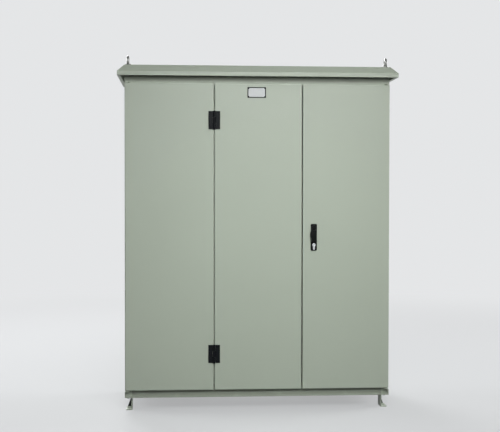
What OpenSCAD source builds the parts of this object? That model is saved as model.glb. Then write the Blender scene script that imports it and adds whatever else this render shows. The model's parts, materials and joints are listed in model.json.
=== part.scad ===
// Outdoor control cabinet with three overlay leaves, a rain roof and angle feet.
// Millimetres. +Z up, the leaves face -Y, origin on the floor under the roof's centre.

/* [Body] */
// Width over the side walls
body_w = 1328; // [1240:4:1480]
// Depth from the leaf faces to the back panel
body_d = 500; // [460:10:620]
// Height of the side walls
wall_h = 1598; // [1500:2:1800]
// Thickness of the wall, rail and leaf sheets
sheet_t = 2; // [1.5:0.25:2.5]
// Width of the flange that frames the front opening
flange_w = 35; // [32:1:42]
// Depth of the folded lips on the rails
rail_d = 25; // [24:1:32]
// How far the lower lip of the sill stands forward of its face
sill_nose = 16; // [10:1:18]

/* [Roof] */
// Overhang of the roof past the body, all round
roof_over = 34; // [30:1:60]
// Height of the roof's upright edge
fascia_h = 20; // [12:1:30]
// Rise of the sloping edge, which lies at 45 degrees
bevel_rise = 35; // [25:1:35]
// Rise of the shallow crown over the sloping edge
crown_rise = 6; // [2:1:12]
// Width of the lip folded in under the upright edge
roof_lip = 16; // [10:1:24]

/* [Lifting eyes] */
// Radius to the middle of the ring's bar
eye_ring_r = 19; // [18:0.5:24]
// Radius of the ring's bar
eye_bar_r = 6; // [5:0.25:7]
// Radius of the collar under the ring
eye_collar_r = 15; // [13:0.5:17]
// Radius of the screwed shank
eye_shank_r = 6; // [5:0.25:7]
// Distance of the eyes from the side walls' outer faces
eye_in_x = 16; // [15:1:24]
// Distance of the eyes from the front and back of the body
eye_in_y = 55; // [50:1:80]

/* [Feet] */
// Height of the feet
foot_h = 66; // [45:1:80]
// Length of a foot from front to back
foot_len = 70; // [50:1:100]
// Width of a foot's flanges
foot_w = 32; // [30:1:44]
// Thickness of a foot's plate
foot_t = 5; // [4:0.5:6]
// Distance of a foot's web inside the side wall
foot_in = 36; // [32:1:40]
// Distance of a foot's centre from the front and back of the body
foot_in_y = 75; // [65:1:100]
// Radius of the anchor holes
anchor_r = 7; // [5:0.5:9]

/* [Leaves] */
// Depth of the folded leaves
leaf_d = 22; // [20:1:26]
// Gap between neighbouring leaves
leaf_gap = 5; // [4:0.5:8]
// Distance between the two seams
centre_pitch = 440; // [420:5:460]
// Distance of the outer leaf edges inside the side walls
leaf_in = 4; // [2:1:13]
// Height of the sill left open under the leaves
leaf_low = 39; // [36:1:50]
// Height of the header left open over the leaves
leaf_high = 36; // [34:1:60]
// How far the leaves lap over the frame at top and bottom
leaf_lap = 25; // [24:1:30]
// Width of the lip folded in at the back of a leaf
leaf_lip = 26; // [25:1:30]
// Gap between leaf and frame, filled by the seal
seal_gap = 7; // [6:0.5:8]
// Width of the seal
seal_w = 12; // [9:0.5:13]
// Distance of the seal inside the leaf edge
seal_in = 12; // [11.5:0.5:13]

/* [Pivots] */
// Distance of the pivot axis inside the leaf edge
pivot_in = 10; // [9:0.5:11]
// Radius of the pivot pins
pivot_r = 4; // [3:0.25:4.5]
// Thickness of the pivot lugs
lug_t = 5; // [4:0.5:8]
// Gap between a leaf and a pivot lug
lug_gap = 3; // [2:0.5:9]

/* [Surface hinges] */
// Height of a hinge
hinge_h = 90; // [70:1:110]
// Width of a hinge over both wings
hinge_w = 58; // [50:1:70]
// Thickness of a hinge wing
wing_t = 5; // [4:0.5:5.5]
// Radius of the hinge knuckle
knuckle_r = 6.5; // [6:0.25:7]
// Radius of the hinge pin
hinge_pin_r = 3; // [2.5:0.25:3.5]
// Distance of a hinge's middle from the upper and lower leaf edge
hinge_in = 180; // [140:5:300]

/* [Lock] */
// Height of the lock dish
dish_h = 134; // [120:1:150]
// Width of the lock dish
dish_w = 31; // [28:1:36]
// How far the lock dish stands off the leaf
dish_t = 8; // [6:0.5:10]
// Gap between the lock's housing and the lip of the right leaf
lock_gap = 1.3; // [1:0.1:20]
// Height of the lock dish's middle over the floor
lock_z = 866; // [800:1:1000]
// Length of the lever below its pin
lever_len = 72; // [60:1:74]
// Thickness of the lever
lever_t = 13; // [10:0.5:15]
// Height of the lock cylinder's face
cylinder_h = 33; // [30:0.5:34]
// Module of the lock's pinion and racks
gear_m = 2; // [1.5:0.25:2]
// Teeth on the lock's pinion
gear_teeth = 12; // [12:2:14]
// Width of the lock rods
rod_w = 10; // [8:1:11]
// Thickness of the lock rods
rod_t = 6; // [5:0.5:8]
// Radius of the slide bolts
bolt_r = 5; // [4:0.25:6]
// Throw of the slide bolts
bolt_throw = 18; // [12:1:20]

/* [Nameplate] */
// Width of the nameplate
name_w = 92; // [70:1:110]
// Height of the nameplate
name_h = 53; // [40:1:65]
// Distance of the nameplate under the leaf's upper edge
name_low = 15; // [10:1:40]
// Distance of the nameplate's middle from the leaf's middle line
name_off = -9; // [-40:1:40]

/* [Equipment] */
// Distance between the back panel and the mounting plate
plate_off = 45; // [35:1:60]
// Thickness of the mounting plate
plate_t = 3; // [2:0.5:4]
// Gap between the mounting plate and the walls, floor and deck
plate_gap = 60; // [45:1:90]
// Width of the wiring ducts
duct_w = 50; // [40:1:60]
// Depth of the wiring ducts
duct_d = 60; // [50:1:80]
// Height of the control gear's mounting rail over its plate
rail_rise = 7.5; // [7.5:0.5:15]

/* [Fits] */
// Radial running clearance of a pin in its bore
run_clear = 0.05; // [0.03:0.01:0.1]
// Clearance between parts that slide past each other
slide_clear = 0.4; // [0.3:0.05:0.6]
// Clearance of a screw or shank in its hole
hole_clear = 0.3; // [0.2:0.05:0.5]

/* [Hidden] */
$fn = 40;
paint = [0.62, 0.65, 0.58];
black = [0.1, 0.1, 0.11];
steel = [0.62, 0.63, 0.65];
zinc = [0.72, 0.72, 0.7];
rubber = [0.07, 0.07, 0.07];
grey = [0.45, 0.46, 0.48];
copper = [0.72, 0.45, 0.2];

// Planes of the body
x_wall = body_w / 2;
y_face = -body_d / 2;
y_back = body_d / 2;
z_base = foot_h;
z_top = foot_h + wall_h;
y_leaf = y_face + leaf_d;
y_frame = y_leaf + seal_gap;
y_frame_in = y_frame + sheet_t;
y_wall_end = y_back - sheet_t;
x_open = x_wall - flange_w;
flange_return = 12;
back_flange = 30;

// Planes of the leaves
x_leaf = x_wall - leaf_in;
seam_x = centre_pitch / 2;
z_leaf0 = z_base + leaf_low;
z_leaf1 = z_top - leaf_high;
z_sill = z_leaf0 + leaf_lap;
z_header = z_leaf1 - leaf_lap;
left_span = [-x_leaf, -seam_x - leaf_gap / 2];
centre_span = [-seam_x + leaf_gap / 2, seam_x - leaf_gap / 2];
right_span = [seam_x + leaf_gap / 2, x_leaf];

// Pivot and hinge axes
x_pivot = x_leaf - pivot_in;
y_pivot = y_face + leaf_d / 2;
y_hinge = y_face - knuckle_r;
hinge_zs = [z_leaf0 + hinge_in, z_leaf1 - hinge_in];

// Roof
roof_w = body_w + 2 * roof_over;
roof_d = body_d + 2 * roof_over;
deck_z = z_top + sheet_t;
eye_xs = [-x_wall + eye_in_x, x_wall - eye_in_x];
spacer_r = 11;

// Lock
keeper_gap = 2;
y_rod = y_frame_in + keeper_gap + rod_t / 2;
gear_r = gear_m * gear_teeth / 2;
gear_add = 0.7 * gear_m;
gear_ded = 0.9 * gear_m;
gear_play = 0.4;
rod_off = gear_r + gear_ded + rod_w / 2;
z_spindle = lock_z + dish_h / 2 - 18;
y_dish = y_face - dish_t;
spindle_w = 8;
neck_r = 7;
hub_w = 16;
pin_off = 7.5;
lever_pin_r = 2.5;
y_lever_pin = y_dish - pin_off;
case_wall = 4;
case_w = 2 * (gear_r + gear_ded + rod_w + slide_clear + case_wall);
case_h = 76;
x_lock = right_span[0] + leaf_lip + lock_gap + case_w / 2;
y_case = y_rod + rod_t / 2 + slide_clear + case_wall;
z_cylinder = lock_z - dish_h / 2 + 4;
cylinder_r = 8.5;
tongue_r = 5;
plug_r = 6;
guide_w = 24;
x_bolt = centre_span[1] - leaf_lip - guide_w / 2 - 2;
y_bolt = y_frame_in + keeper_gap + bolt_r;
bolt_len = 150;

// Mounting plate and control gear
y_plate = y_wall_end - plate_off - plate_t;
x_plate = x_wall - plate_gap;
z_plate0 = z_base + plate_gap + 20;
z_plate1 = z_top - plate_gap;
y_rail = y_plate - rail_rise;
screw_r = 3;

// Box between two corners
module block(low, high) {
    translate(low) cube(high - low);
}

// Rectangle between two corners
module rect(low, high) {
    translate(low) square(high - low);
}

// Extrudes a profile drawn in (y, z) along X
module along_x(x0, x1) {
    translate([x0, 0, 0]) rotate([90, 0, 90]) linear_extrude(x1 - x0) children();
}

// Extrudes a profile drawn in (x, z) along Y, from y0 back to y1
module along_y(y0, y1) {
    translate([0, y1, 0]) rotate([90, 0, 0]) linear_extrude(y1 - y0) children();
}

// Round bar along Y, from y0 to y1
module bar_y(r, y0, y1) {
    translate([0, y1, 0]) rotate([90, 0, 0]) cylinder(r = r, h = y1 - y0);
}

// Round bar along X, from x0 to x1
module bar_x(r, x0, x1) {
    translate([x0, 0, 0]) rotate([0, 90, 0]) cylinder(r = r, h = x1 - x0);
}

// Repeats a shape at each point
module at(points) {
    for (p = points) translate(p) children();
}

// Rectangle with round corners, drawn round the origin
module round_rect(w, h, r) {
    square([w - 2 * r, h], center = true);
    square([w, h - 2 * r], center = true);
    for (sx = [-1, 1], sy = [-1, 1]) translate([sx * (w / 2 - r), sy * (h / 2 - r)]) circle(r);
}

// Body

back_screw_in = 90;
back_screw_zs = [for (i = [0:5]) z_base + back_screw_in + i * (wall_h - 2 * back_screw_in) / 5];
back_screw_xs = [-x_wall + back_flange / 2, x_wall - back_flange / 2];
back_screws_at = [for (x = back_screw_xs, z = back_screw_zs) [x, 0, z]];

// Left wall: a sheet folded to the front flange and its return, and to the rear and bottom flange
module wall_sheet() {
    difference() {
        union() {
            block([-x_wall, y_frame, z_base], [-x_wall + back_flange, y_wall_end, z_base + sheet_t]);
            translate([0, 0, z_base]) linear_extrude(wall_h) wall_section();
        }
        at([for (p = back_screws_at) if (p[0] < 0) p])
            bar_y(screw_r + hole_clear, y_wall_end - 2 * sheet_t, y_back);
        at([for (p = foot_bolts_at) if (p[0] < 0) p])
            cylinder(r = foot_bolt_r + hole_clear, h = 8 * sheet_t, center = true);
    }
}

module wall_section() {
    rect([-x_wall, y_frame], [-x_wall + sheet_t, y_wall_end]);
    rect([-x_wall, y_frame], [-x_open, y_frame_in]);
    rect([-x_open - sheet_t, y_frame], [-x_open, y_frame + flange_return]);
    rect([-x_wall, y_wall_end - sheet_t], [-x_wall + back_flange, y_wall_end]);
}

module left_side() {
    color(paint) wall_sheet();
}

module right_side() {
    color(paint) mirror([1, 0, 0]) wall_sheet();
}

module back_panel() {
    color(paint) difference() {
        block([-x_wall, y_wall_end, z_base], [x_wall, y_back, z_top]);
        at(back_screws_at) bar_y(screw_r + hole_clear, y_wall_end - sheet_t, y_back + sheet_t);
    }
}

// Pan-head screws through the back panel into the rear flanges
module back_screws() {
    head_r = 6;
    head_t = 4;
    slot_w = 1.2;
    slot_d = 1.5;
    color(steel) at(back_screws_at) {
        bar_y(screw_r, y_wall_end - 4 * sheet_t, y_back);
        difference() {
            translate([0, y_back, 0]) rotate([-90, 0, 0])
                cylinder(r1 = head_r, r2 = 0.7 * head_r, h = head_t);
            translate([-slot_w / 2, y_back + head_t - slot_d, -head_r])
                cube([slot_w, 2 * slot_d, 2 * head_r]);
        }
    }
}

// Deck that closes the body under the roof, with a hole for each lifting eye
module top_deck() {
    color(paint) difference() {
        block([-x_wall, y_frame, z_top], [x_wall, y_back, deck_z]);
        at(eyes_at) cylinder(r = eye_shank_r + hole_clear, h = 4 * sheet_t, center = true);
    }
}

// Places of the slots and holes that the rods and bolts pass through
module keepers() {
    for (side = [-1, 1]) translate([x_lock + side * rod_off, y_rod])
        square([rod_w + 2 * slide_clear + 1, rod_t + 2 * slide_clear + 1], center = true);
    translate([x_bolt, y_bolt]) circle(bolt_r + slide_clear);
}

// Front rail over the leaves: a channel whose lower lip keeps the rods and bolts
module header() {
    color(paint) difference() {
        along_x(-x_open, x_open) {
            rect([y_frame, z_header], [y_frame_in, z_top]);
            rect([y_frame, z_header], [y_frame + rail_d, z_header + sheet_t]);
            rect([y_frame, z_top - sheet_t], [y_frame + rail_d, z_top]);
        }
        translate([0, 0, z_header - sheet_t]) linear_extrude(3 * sheet_t) keepers();
    }
}

// Nose along the lower edge of the sill, folded up and closed at both ends
module sill_front() {
    end_w = 7;
    y_nose = y_frame - sill_nose;
    z_end = z_leaf0 - lug_gap - lug_t - sheet_t;
    along_x(-x_wall, x_wall) {
        rect([y_nose, z_base], [y_frame, z_base + sheet_t]);
        rect([y_nose, z_base], [y_nose + sheet_t, z_base + sill_nose / 2]);
    }
    for (right = [0, 1]) mirror([right, 0, 0]) {
        block([-x_wall, y_nose, z_base], [-x_wall + end_w, y_nose + sheet_t, z_end]);
        block([-x_wall, y_nose, z_base], [-x_wall + sheet_t, y_frame, z_end]);
    }
}

// Front rail under the leaves
module sill() {
    color(paint) difference() {
        union() {
            along_x(-x_open, x_open) {
                rect([y_frame, z_base], [y_frame_in, z_sill]);
                rect([y_frame, z_sill - sheet_t], [y_frame + rail_d, z_sill]);
                rect([y_frame, z_base], [y_frame + rail_d, z_base + sheet_t]);
            }
            sill_front();
        }
        translate([0, 0, z_sill - 2 * sheet_t]) linear_extrude(3 * sheet_t) keepers();
    }
}

// Channel across the back of the body
module rear_rail(z0, z1) {
    along_x(-x_wall + back_flange, x_wall - back_flange) {
        rect([y_wall_end - sheet_t, z0], [y_wall_end, z1]);
        rect([y_wall_end - rail_d, z0], [y_wall_end, z0 + sheet_t]);
        rect([y_wall_end - rail_d, z1 - sheet_t], [y_wall_end, z1]);
    }
}

module rear_header() {
    color(paint) rear_rail(z_header, z_top);
}

module rear_sill() {
    color(paint) rear_rail(z_base, z_sill);
}

// Floor with the cut-out for the cable entry
gland_w = 520;
gland_d = 150;
gland_lap = 20;
gland_off = 130;
y_gland = y_plate - gland_off;
z_floor = z_base + sheet_t;

module floor_panel() {
    color(paint) difference() {
        block([-x_wall + sheet_t, y_frame + flange_return, z_floor],
              [x_wall - sheet_t, y_wall_end - sheet_t, z_floor + sheet_t]);
        at(foot_bolts_at) cylinder(r = foot_bolt_r + hole_clear, h = 8 * sheet_t, center = true);
        translate([-gland_w / 2, y_gland - gland_d / 2, z_floor - sheet_t])
            cube([gland_w, gland_d, 3 * sheet_t]);
    }
}

// Cable entry plate, its glands and its screws
gland_body_r = 16;
gland_bore_r = 10;
gland_pitch = 150;
gland_xs = [for (i = [-1:1]) i * gland_pitch];
z_gland = z_floor + sheet_t;
gland_plate_t = 3;

module gland_plate() {
    color(zinc) difference() {
        translate([0, y_gland, z_gland]) linear_extrude(gland_plate_t)
            round_rect(gland_w + 2 * gland_lap, gland_d + 2 * gland_lap, 6);
        at([for (x = gland_xs) [x, y_gland, z_gland]])
            cylinder(r = gland_body_r + hole_clear, h = 4 * gland_plate_t, center = true);
    }
}

module cable_glands() {
    nut_r = 22;
    nut_t = 7;
    thread_end = 3;
    dome_h = 26;
    dome_tip_r = 14;
    dome_root_r = 19;
    z_low = z_gland - nut_t;
    z_in = z_gland + gland_plate_t;
    color(grey) at([for (x = gland_xs) [x, y_gland, 0]]) difference() {
        union() {
            translate([0, 0, z_low]) cylinder(r = nut_r, h = nut_t, $fn = 6);
            translate([0, 0, z_low]) cylinder(r = gland_body_r, h = z_in + nut_t + thread_end - z_low);
            translate([0, 0, z_low - dome_h]) cylinder(r1 = dome_tip_r, r2 = dome_root_r, h = dome_h);
            translate([0, 0, z_in]) cylinder(r = nut_r, h = nut_t, $fn = 6);
        }
        translate([0, 0, z_low - dome_h - 1]) cylinder(r = gland_bore_r, h = 4 * dome_h);
    }
}

// Roof

// Section of the roof from edge to edge, drawn w wide; inset shrinks it to the inner face
function roof_section(w, inset) =
    let (half = w / 2 - inset,
         low = fascia_h - inset * tan(22.5),
         high = fascia_h + bevel_rise - inset,
         run = high - low)
    [[-half, 0], [half, 0], [half, low], [half - run, high], [0, high + crown_rise],
     [-half + run, high], [-half, low]];

// Body of the roof: two sections crossed, which meet in mitred corners
module roof_form(inset) {
    intersection() {
        along_x(-roof_w / 2 + inset, roof_w / 2 - inset) polygon(roof_section(roof_d, inset));
        along_y(-roof_d / 2 + inset, roof_d / 2 - inset) polygon(roof_section(roof_w, inset));
    }
}

module roof() {
    lip_w = roof_w - 2 * roof_lip;
    lip_d = roof_d - 2 * roof_lip;
    color(paint) translate([0, 0, z_top]) difference() {
        roof_form(0);
        intersection() {
            roof_form(sheet_t);
            translate([-roof_w / 2, -roof_d / 2, sheet_t])
                cube([roof_w, roof_d, fascia_h + bevel_rise + crown_rise]);
        }
        translate([-lip_w / 2, -lip_d / 2, -1]) cube([lip_w, lip_d, sheet_t + 2]);
        at([for (p = eyes_at) [p[0], p[1], 0]])
            cylinder(r = eye_shank_r + hole_clear, h = 2 * (fascia_h + bevel_rise + crown_rise));
    }
}

// Height of the roof's outer face over the wall tops at a distance in from its edge
function roof_top(edge, half) =
    fascia_h + bevel_rise + crown_rise * (edge - bevel_rise) / (half - bevel_rise);
eye_y = y_face + eye_in_y;
eye_rise = min(roof_top(roof_over + eye_in_x, roof_w / 2),
               roof_top(roof_over + eye_in_y, roof_d / 2));
eyes_at = [for (x = eye_xs, y = [eye_y, -eye_y]) [x, y, z_top]];

// Tubes between deck and roof, clamped by the lifting eyes
module roof_spacers() {
    color(zinc) at(eyes_at) difference() {
        translate([0, 0, sheet_t]) cylinder(r = spacer_r, h = fascia_h + bevel_rise - 2 * sheet_t);
        cylinder(r = eye_shank_r + hole_clear, h = 2 * bevel_rise + fascia_h);
    }
}

// Lifting eye: a ring on a collar, with a shank and nut below the deck
module lifting_eye() {
    collar_t = 9;
    nut_t = 10;
    nut_r = 10;
    seat = eye_rise + hole_clear;
    translate([0, 0, seat]) cylinder(r = eye_collar_r, h = collar_t);
    translate([0, 0, -nut_t]) cylinder(r = eye_shank_r, h = seat + nut_t);
    translate([0, 0, -nut_t]) cylinder(r = nut_r, h = nut_t, $fn = 6);
    translate([0, 0, seat + eye_ring_r + eye_bar_r]) rotate([0, 90, 0])
        rotate_extrude() translate([eye_ring_r, 0]) circle(eye_bar_r, $fn = 24);
}

module front_eyes() {
    color(zinc) at([for (p = eyes_at) if (p[1] < 0) p]) lifting_eye();
}

module rear_eyes() {
    color(zinc) at([for (p = eyes_at) if (p[1] > 0) p]) lifting_eye();
}

// Feet

foot_y = body_d / 2 - foot_in_y;
foot_bolt_r = 4;
foot_bolts_at = [for (sx = [-1, 1], sy = [-1, 1], e = [-1, 1])
    [sx * (x_wall - back_flange / 2), sy * foot_y + e * foot_len / 4, z_base]];

// Left front foot: a folded plate with a gusset at its inner end
module angle_foot() {
    x_web = -x_wall + foot_in;
    x_out = x_web - foot_w;
    x_hole = (x_out + x_web - foot_t) / 2;
    difference() {
        union() {
            block([x_out, -foot_len / 2, 0], [x_web, foot_len / 2, foot_t]);
            block([x_web - foot_t, -foot_len / 2, 0], [x_web, foot_len / 2, foot_h]);
            block([-x_wall, -foot_len / 2, foot_h - foot_t], [x_web, foot_len / 2, foot_h]);
            along_y(foot_len / 2 - foot_t, foot_len / 2)
                polygon([[x_web, foot_t / 2], [x_web, foot_h - foot_t / 2],
                         [x_web - foot_t, foot_h - foot_t / 2], [x_out + foot_t, foot_t / 2]]);
        }
        translate([x_hole, 0, -1]) cylinder(r = anchor_r, h = foot_t + 2);
        for (e = [-1, 1]) translate([-x_wall + back_flange / 2, e * foot_len / 4, foot_h - 2 * foot_t])
            cylinder(r = foot_bolt_r + hole_clear, h = 4 * foot_t);
    }
}

module feet() {
    color(paint) for (right = [0, 1], rear = [0, 1])
        mirror([right, 0, 0]) mirror([0, rear, 0]) translate([0, -foot_y, 0]) angle_foot();
}

// Bolts that hold the feet under the walls: head below, nut on the floor panel
module foot_bolts() {
    head_t = 5;
    head_r = 7.5;
    thread_end = 3;
    stack = foot_t + 2 * sheet_t;
    color(zinc) at(foot_bolts_at) {
        translate([0, 0, -foot_t - head_t]) cylinder(r = head_r, h = head_t, $fn = 6);
        translate([0, 0, -foot_t - head_t]) cylinder(r = foot_bolt_r, h = stack + 2 * head_t + thread_end);
        translate([0, 0, 2 * sheet_t]) cylinder(r = head_r, h = head_t, $fn = 6);
    }
}

// Leaves

// Sheet folded to a tray, open at the back inside a lip
module leaf_tray(span) {
    difference() {
        block([span[0], y_face, z_leaf0], [span[1], y_leaf, z_leaf1]);
        block([span[0] + sheet_t, y_face + sheet_t, z_leaf0 + sheet_t],
              [span[1] - sheet_t, y_leaf - sheet_t, z_leaf1 - sheet_t]);
        block([span[0] + leaf_lip, y_face + sheet_t, z_leaf0 + leaf_lip],
              [span[1] - leaf_lip, y_leaf + 1, z_leaf1 - leaf_lip]);
    }
}

// Holes for the pivot pins in the upper and lower edge of a leaf
module pivot_holes(x) {
    at([for (z = [z_leaf0, z_leaf1]) [x, y_pivot, z]])
        cylinder(r = pivot_r + hole_clear, h = 4 * sheet_t, center = true);
}

module left_leaf() {
    color(paint) difference() {
        leaf_tray(left_span);
        pivot_holes(-x_pivot);
    }
}

module centre_leaf() {
    color(paint) leaf_tray(centre_span);
}

module right_leaf() {
    color(paint) difference() {
        leaf_tray(right_span);
        pivot_holes(x_pivot);
        translate([x_lock, 0, z_spindle]) bar_y(neck_r + 1, y_face - 1, y_face + 2 * sheet_t);
        along_y(y_face - 1, y_face + 2 * sheet_t) cylinder_profile(1);
    }
}

// Hat section that stiffens a leaf from top to bottom
module hat_section(span) {
    hat_w = 62;
    wing_w = 18;
    back_gap = 4;
    mid = (span[0] + span[1]) / 2;
    y0 = y_face + sheet_t;
    y1 = y_leaf - back_gap;
    translate([mid, 0, z_leaf0 + leaf_lip]) linear_extrude(z_leaf1 - z_leaf0 - 2 * leaf_lip) {
        rect([-hat_w / 2, y1 - sheet_t], [hat_w / 2, y1]);
        for (s = [0, 1]) mirror([s, 0]) {
            rect([hat_w / 2 - sheet_t, y0], [hat_w / 2, y1]);
            rect([hat_w / 2 - sheet_t, y0], [hat_w / 2 + wing_w, y0 + sheet_t]);
        }
    }
}

module left_stiffener() {
    color(paint) hat_section(left_span);
}

module centre_stiffener() {
    color(paint) hat_section(centre_span);
}

module right_stiffener() {
    color(paint) hat_section(right_span);
}

// Foamed seal round the back of a leaf
module leaf_seal(span) {
    outer = seal_in;
    inner = seal_in + seal_w;
    along_y(y_leaf, y_frame - slide_clear) difference() {
        rect([span[0] + outer, z_leaf0 + outer], [span[1] - outer, z_leaf1 - outer]);
        rect([span[0] + inner, z_leaf0 + inner], [span[1] - inner, z_leaf1 - inner]);
    }
}

module left_seal() {
    color(rubber) leaf_seal(left_span);
}

module centre_seal() {
    color(rubber) leaf_seal(centre_span);
}

module right_seal() {
    color(rubber) leaf_seal(right_span);
}

// Pins at the upper and lower corner of the left leaf, each with its block inside the fold
module pivot_pins() {
    block_w = 2 * (pivot_in - sheet_t);
    block_h = 24;
    shoulder_r = 7;
    pin_end = 2;
    for (end = [-1, 1]) {
        z_edge = end > 0 ? z_leaf1 : z_leaf0;
        translate([-x_pivot, y_pivot, z_edge]) mirror([0, 0, end > 0 ? 0 : 1]) {
            translate([-block_w / 2, -leaf_d / 2 + sheet_t, -sheet_t - block_h])
                cube([block_w, leaf_d - 2 * sheet_t, block_h]);
            translate([0, 0, -sheet_t - 1])
                cylinder(r = pivot_r, h = sheet_t + 1 + lug_gap + lug_t + pin_end);
            cylinder(r = shoulder_r, h = lug_gap - slide_clear);
        }
    }
}

module left_pivot_pins() {
    color(paint) pivot_pins();
}

module right_pivot_pins() {
    color(paint) mirror([1, 0, 0]) pivot_pins();
}

// Lugs on the walls' front flanges that carry the pivot pins
module pivot_lugs() {
    lug_r = 9;
    lug_w = 22;
    flange = 4;
    color(paint) for (x = [-x_pivot, x_pivot], z = [z_leaf0 - lug_gap - lug_t, z_leaf1 + lug_gap])
        translate([x, y_pivot, z]) linear_extrude(lug_t) difference() {
            union() {
                circle(lug_r);
                rect([-lug_r, 0], [lug_r, y_frame - y_pivot]);
                rect([-lug_w / 2, y_frame - y_pivot - flange], [lug_w / 2, y_frame - y_pivot]);
            }
            circle(pivot_r + run_clear);
        }
}

// Strip on the left leaf that laps behind the left seam
module rain_strip() {
    strip_t = 1.5;
    seal_clear = 2;
    lap = seal_in - seal_clear;
    x_edge = left_span[1];
    y0 = y_leaf + slide_clear;
    y1 = y0 + strip_t;
    color(paint) translate([0, 0, z_leaf0 + leaf_lip])
        linear_extrude(z_leaf1 - z_leaf0 - 2 * leaf_lip) {
            rect([x_edge - lap, y_leaf], [x_edge, y1]);
            rect([x_edge - strip_t, y0], [x_edge + leaf_gap + lap - 1, y1]);
        }
}

// Surface hinges on the left seam

knuckle_gap = 0.5;

// Wing on the +X side of the axis, with its knuckles between the given heights
module hinge_wing(spans) {
    x_root = knuckle_r + knuckle_gap;
    difference() {
        union() {
            block([x_root, knuckle_r - wing_t, -hinge_h / 2], [hinge_w / 2, knuckle_r, hinge_h / 2]);
            for (s = spans) {
                block([0, knuckle_r - wing_t, s[0]], [x_root, knuckle_r - slide_clear, s[1]]);
                translate([0, 0, s[0]]) cylinder(r = knuckle_r, h = s[1] - s[0]);
            }
        }
        translate([0, 0, -hinge_h]) cylinder(r = hinge_pin_r + run_clear, h = 2 * hinge_h);
    }
}

hinges_at = [for (z = hinge_zs) [-seam_x, y_hinge, z]];
knuckle_mid = hinge_h / 6;

module fixed_wings() {
    outer = knuckle_mid + knuckle_gap / 2;
    color(black) at(hinges_at) mirror([1, 0, 0])
        hinge_wing([[-hinge_h / 2, -outer], [outer, hinge_h / 2]]);
}

module moving_wings() {
    inner = knuckle_mid - knuckle_gap / 2;
    color(black) at(hinges_at) hinge_wing([[-inner, inner]]);
}

module hinge_pins() {
    head_t = 2;
    head_r = hinge_pin_r + 1.5;
    color(black) at(hinges_at) {
        translate([0, 0, -hinge_h / 2 - head_t]) cylinder(r = head_r, h = head_t);
        translate([0, 0, -hinge_h / 2 - head_t]) cylinder(r = hinge_pin_r, h = hinge_h + 2 * head_t);
        translate([0, 0, hinge_h / 2]) cylinder(r = head_r, h = head_t);
    }
}

// Plate with a raised edge on the centre leaf
module nameplate() {
    back_t = 1;
    edge_t = 1.6;
    edge_w = 2.5;
    corner_r = 3;
    color(zinc) translate([name_off, 0, z_leaf1 - name_low - name_h / 2]) {
        along_y(y_face - back_t, y_face) round_rect(name_w, name_h, corner_r);
        along_y(y_face - edge_t, y_face) difference() {
            round_rect(name_w, name_h, corner_r);
            round_rect(name_w - 2 * edge_w, name_h - 2 * edge_w, corner_r - 1);
        }
    }
}

// Slide bolts of the centre leaf, drawn back

bolt_tip = 2;
bolt_guide_h = 20;
bolt_guide_zs = [40, 120];

module slide_bolt() {
    knob_r = 5;
    knob_len = 22;
    nose = 3;
    z_knob = (bolt_guide_zs[0] + bolt_guide_zs[1] + bolt_throw) / 2;
    translate([0, 0, -bolt_tip - bolt_len]) cylinder(r = bolt_r, h = bolt_len - nose);
    translate([0, 0, -bolt_tip - nose]) cylinder(r1 = bolt_r, r2 = bolt_r - nose / 2, h = nose);
    translate([0, 0, -z_knob]) bar_y(knob_r, 0, knob_len);
}

module upper_bolt() {
    color(zinc) translate([x_bolt, y_bolt, z_header]) slide_bolt();
}

module lower_bolt() {
    color(zinc) translate([x_bolt, y_bolt, z_sill]) mirror([0, 0, 1]) slide_bolt();
}

// Posts on the centre leaf that the slide bolts run in
module bolt_guides() {
    wall = 4;
    y0 = y_face + sheet_t;
    y1 = y_bolt + bolt_r + wall;
    zs = [for (d = bolt_guide_zs) each [z_header - d, z_sill + d]];
    color(grey) at([for (z = zs) [x_bolt, 0, z - bolt_guide_h / 2]]) difference() {
        translate([-guide_w / 2, y0, 0]) cube([guide_w, y1 - y0, bolt_guide_h]);
        translate([0, y_bolt, -1]) cylinder(r = bolt_r + run_clear, h = bolt_guide_h + 2);
        block([-guide_w / 2 + wall, y0 + wall, -1],
              [guide_w / 2 - wall, y_bolt - bolt_r - wall, bolt_guide_h + 1]);
    }
}

// Lock

// Outline of the lock cylinder: a round head over a narrow tongue, grown by a clearance
module cylinder_profile(grow) {
    translate([x_lock, z_cylinder + cylinder_h - cylinder_r]) circle(cylinder_r + grow);
    translate([x_lock, z_cylinder + tongue_r]) circle(tongue_r + grow);
    rect([x_lock - tongue_r - grow, z_cylinder + tongue_r],
         [x_lock + tongue_r + grow, z_cylinder + cylinder_h - cylinder_r]);
}

z_plug = z_cylinder + cylinder_h - cylinder_r;
y_key = y_dish - 3;
y_cylinder_end = y_leaf + 4;

module lock_dish() {
    corner_r = 6;
    rim = 2;
    color(black) difference() {
        translate([x_lock, 0, lock_z]) {
            along_y(y_dish + rim, y_face) round_rect(dish_w, dish_h, corner_r);
            along_y(y_dish, y_face) round_rect(dish_w - 2 * rim, dish_h - 2 * rim, corner_r - rim);
        }
        translate([x_lock, 0, z_spindle]) bar_y(neck_r + run_clear, y_dish - 1, y_face + 1);
        along_y(y_dish - 1, y_face + 1) cylinder_profile(hole_clear);
    }
}

module lock_cylinder() {
    color(steel) difference() {
        along_y(y_key, y_cylinder_end) cylinder_profile(0);
        translate([x_lock, 0, z_plug]) bar_y(plug_r + run_clear, y_key - 1, y_cylinder_end + 1);
    }
}

module key_plug() {
    slot_w = 2.2;
    slot_h = 8;
    slot_d = 20;
    proud = 0.6;
    color(zinc) translate([x_lock, 0, z_plug]) difference() {
        bar_y(plug_r, y_key - proud, y_cylinder_end);
        block([-slot_w / 2, y_key - 2 * proud, -slot_h / 2], [slot_w / 2, y_key + slot_d, slot_h / 2]);
    }
}

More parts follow.
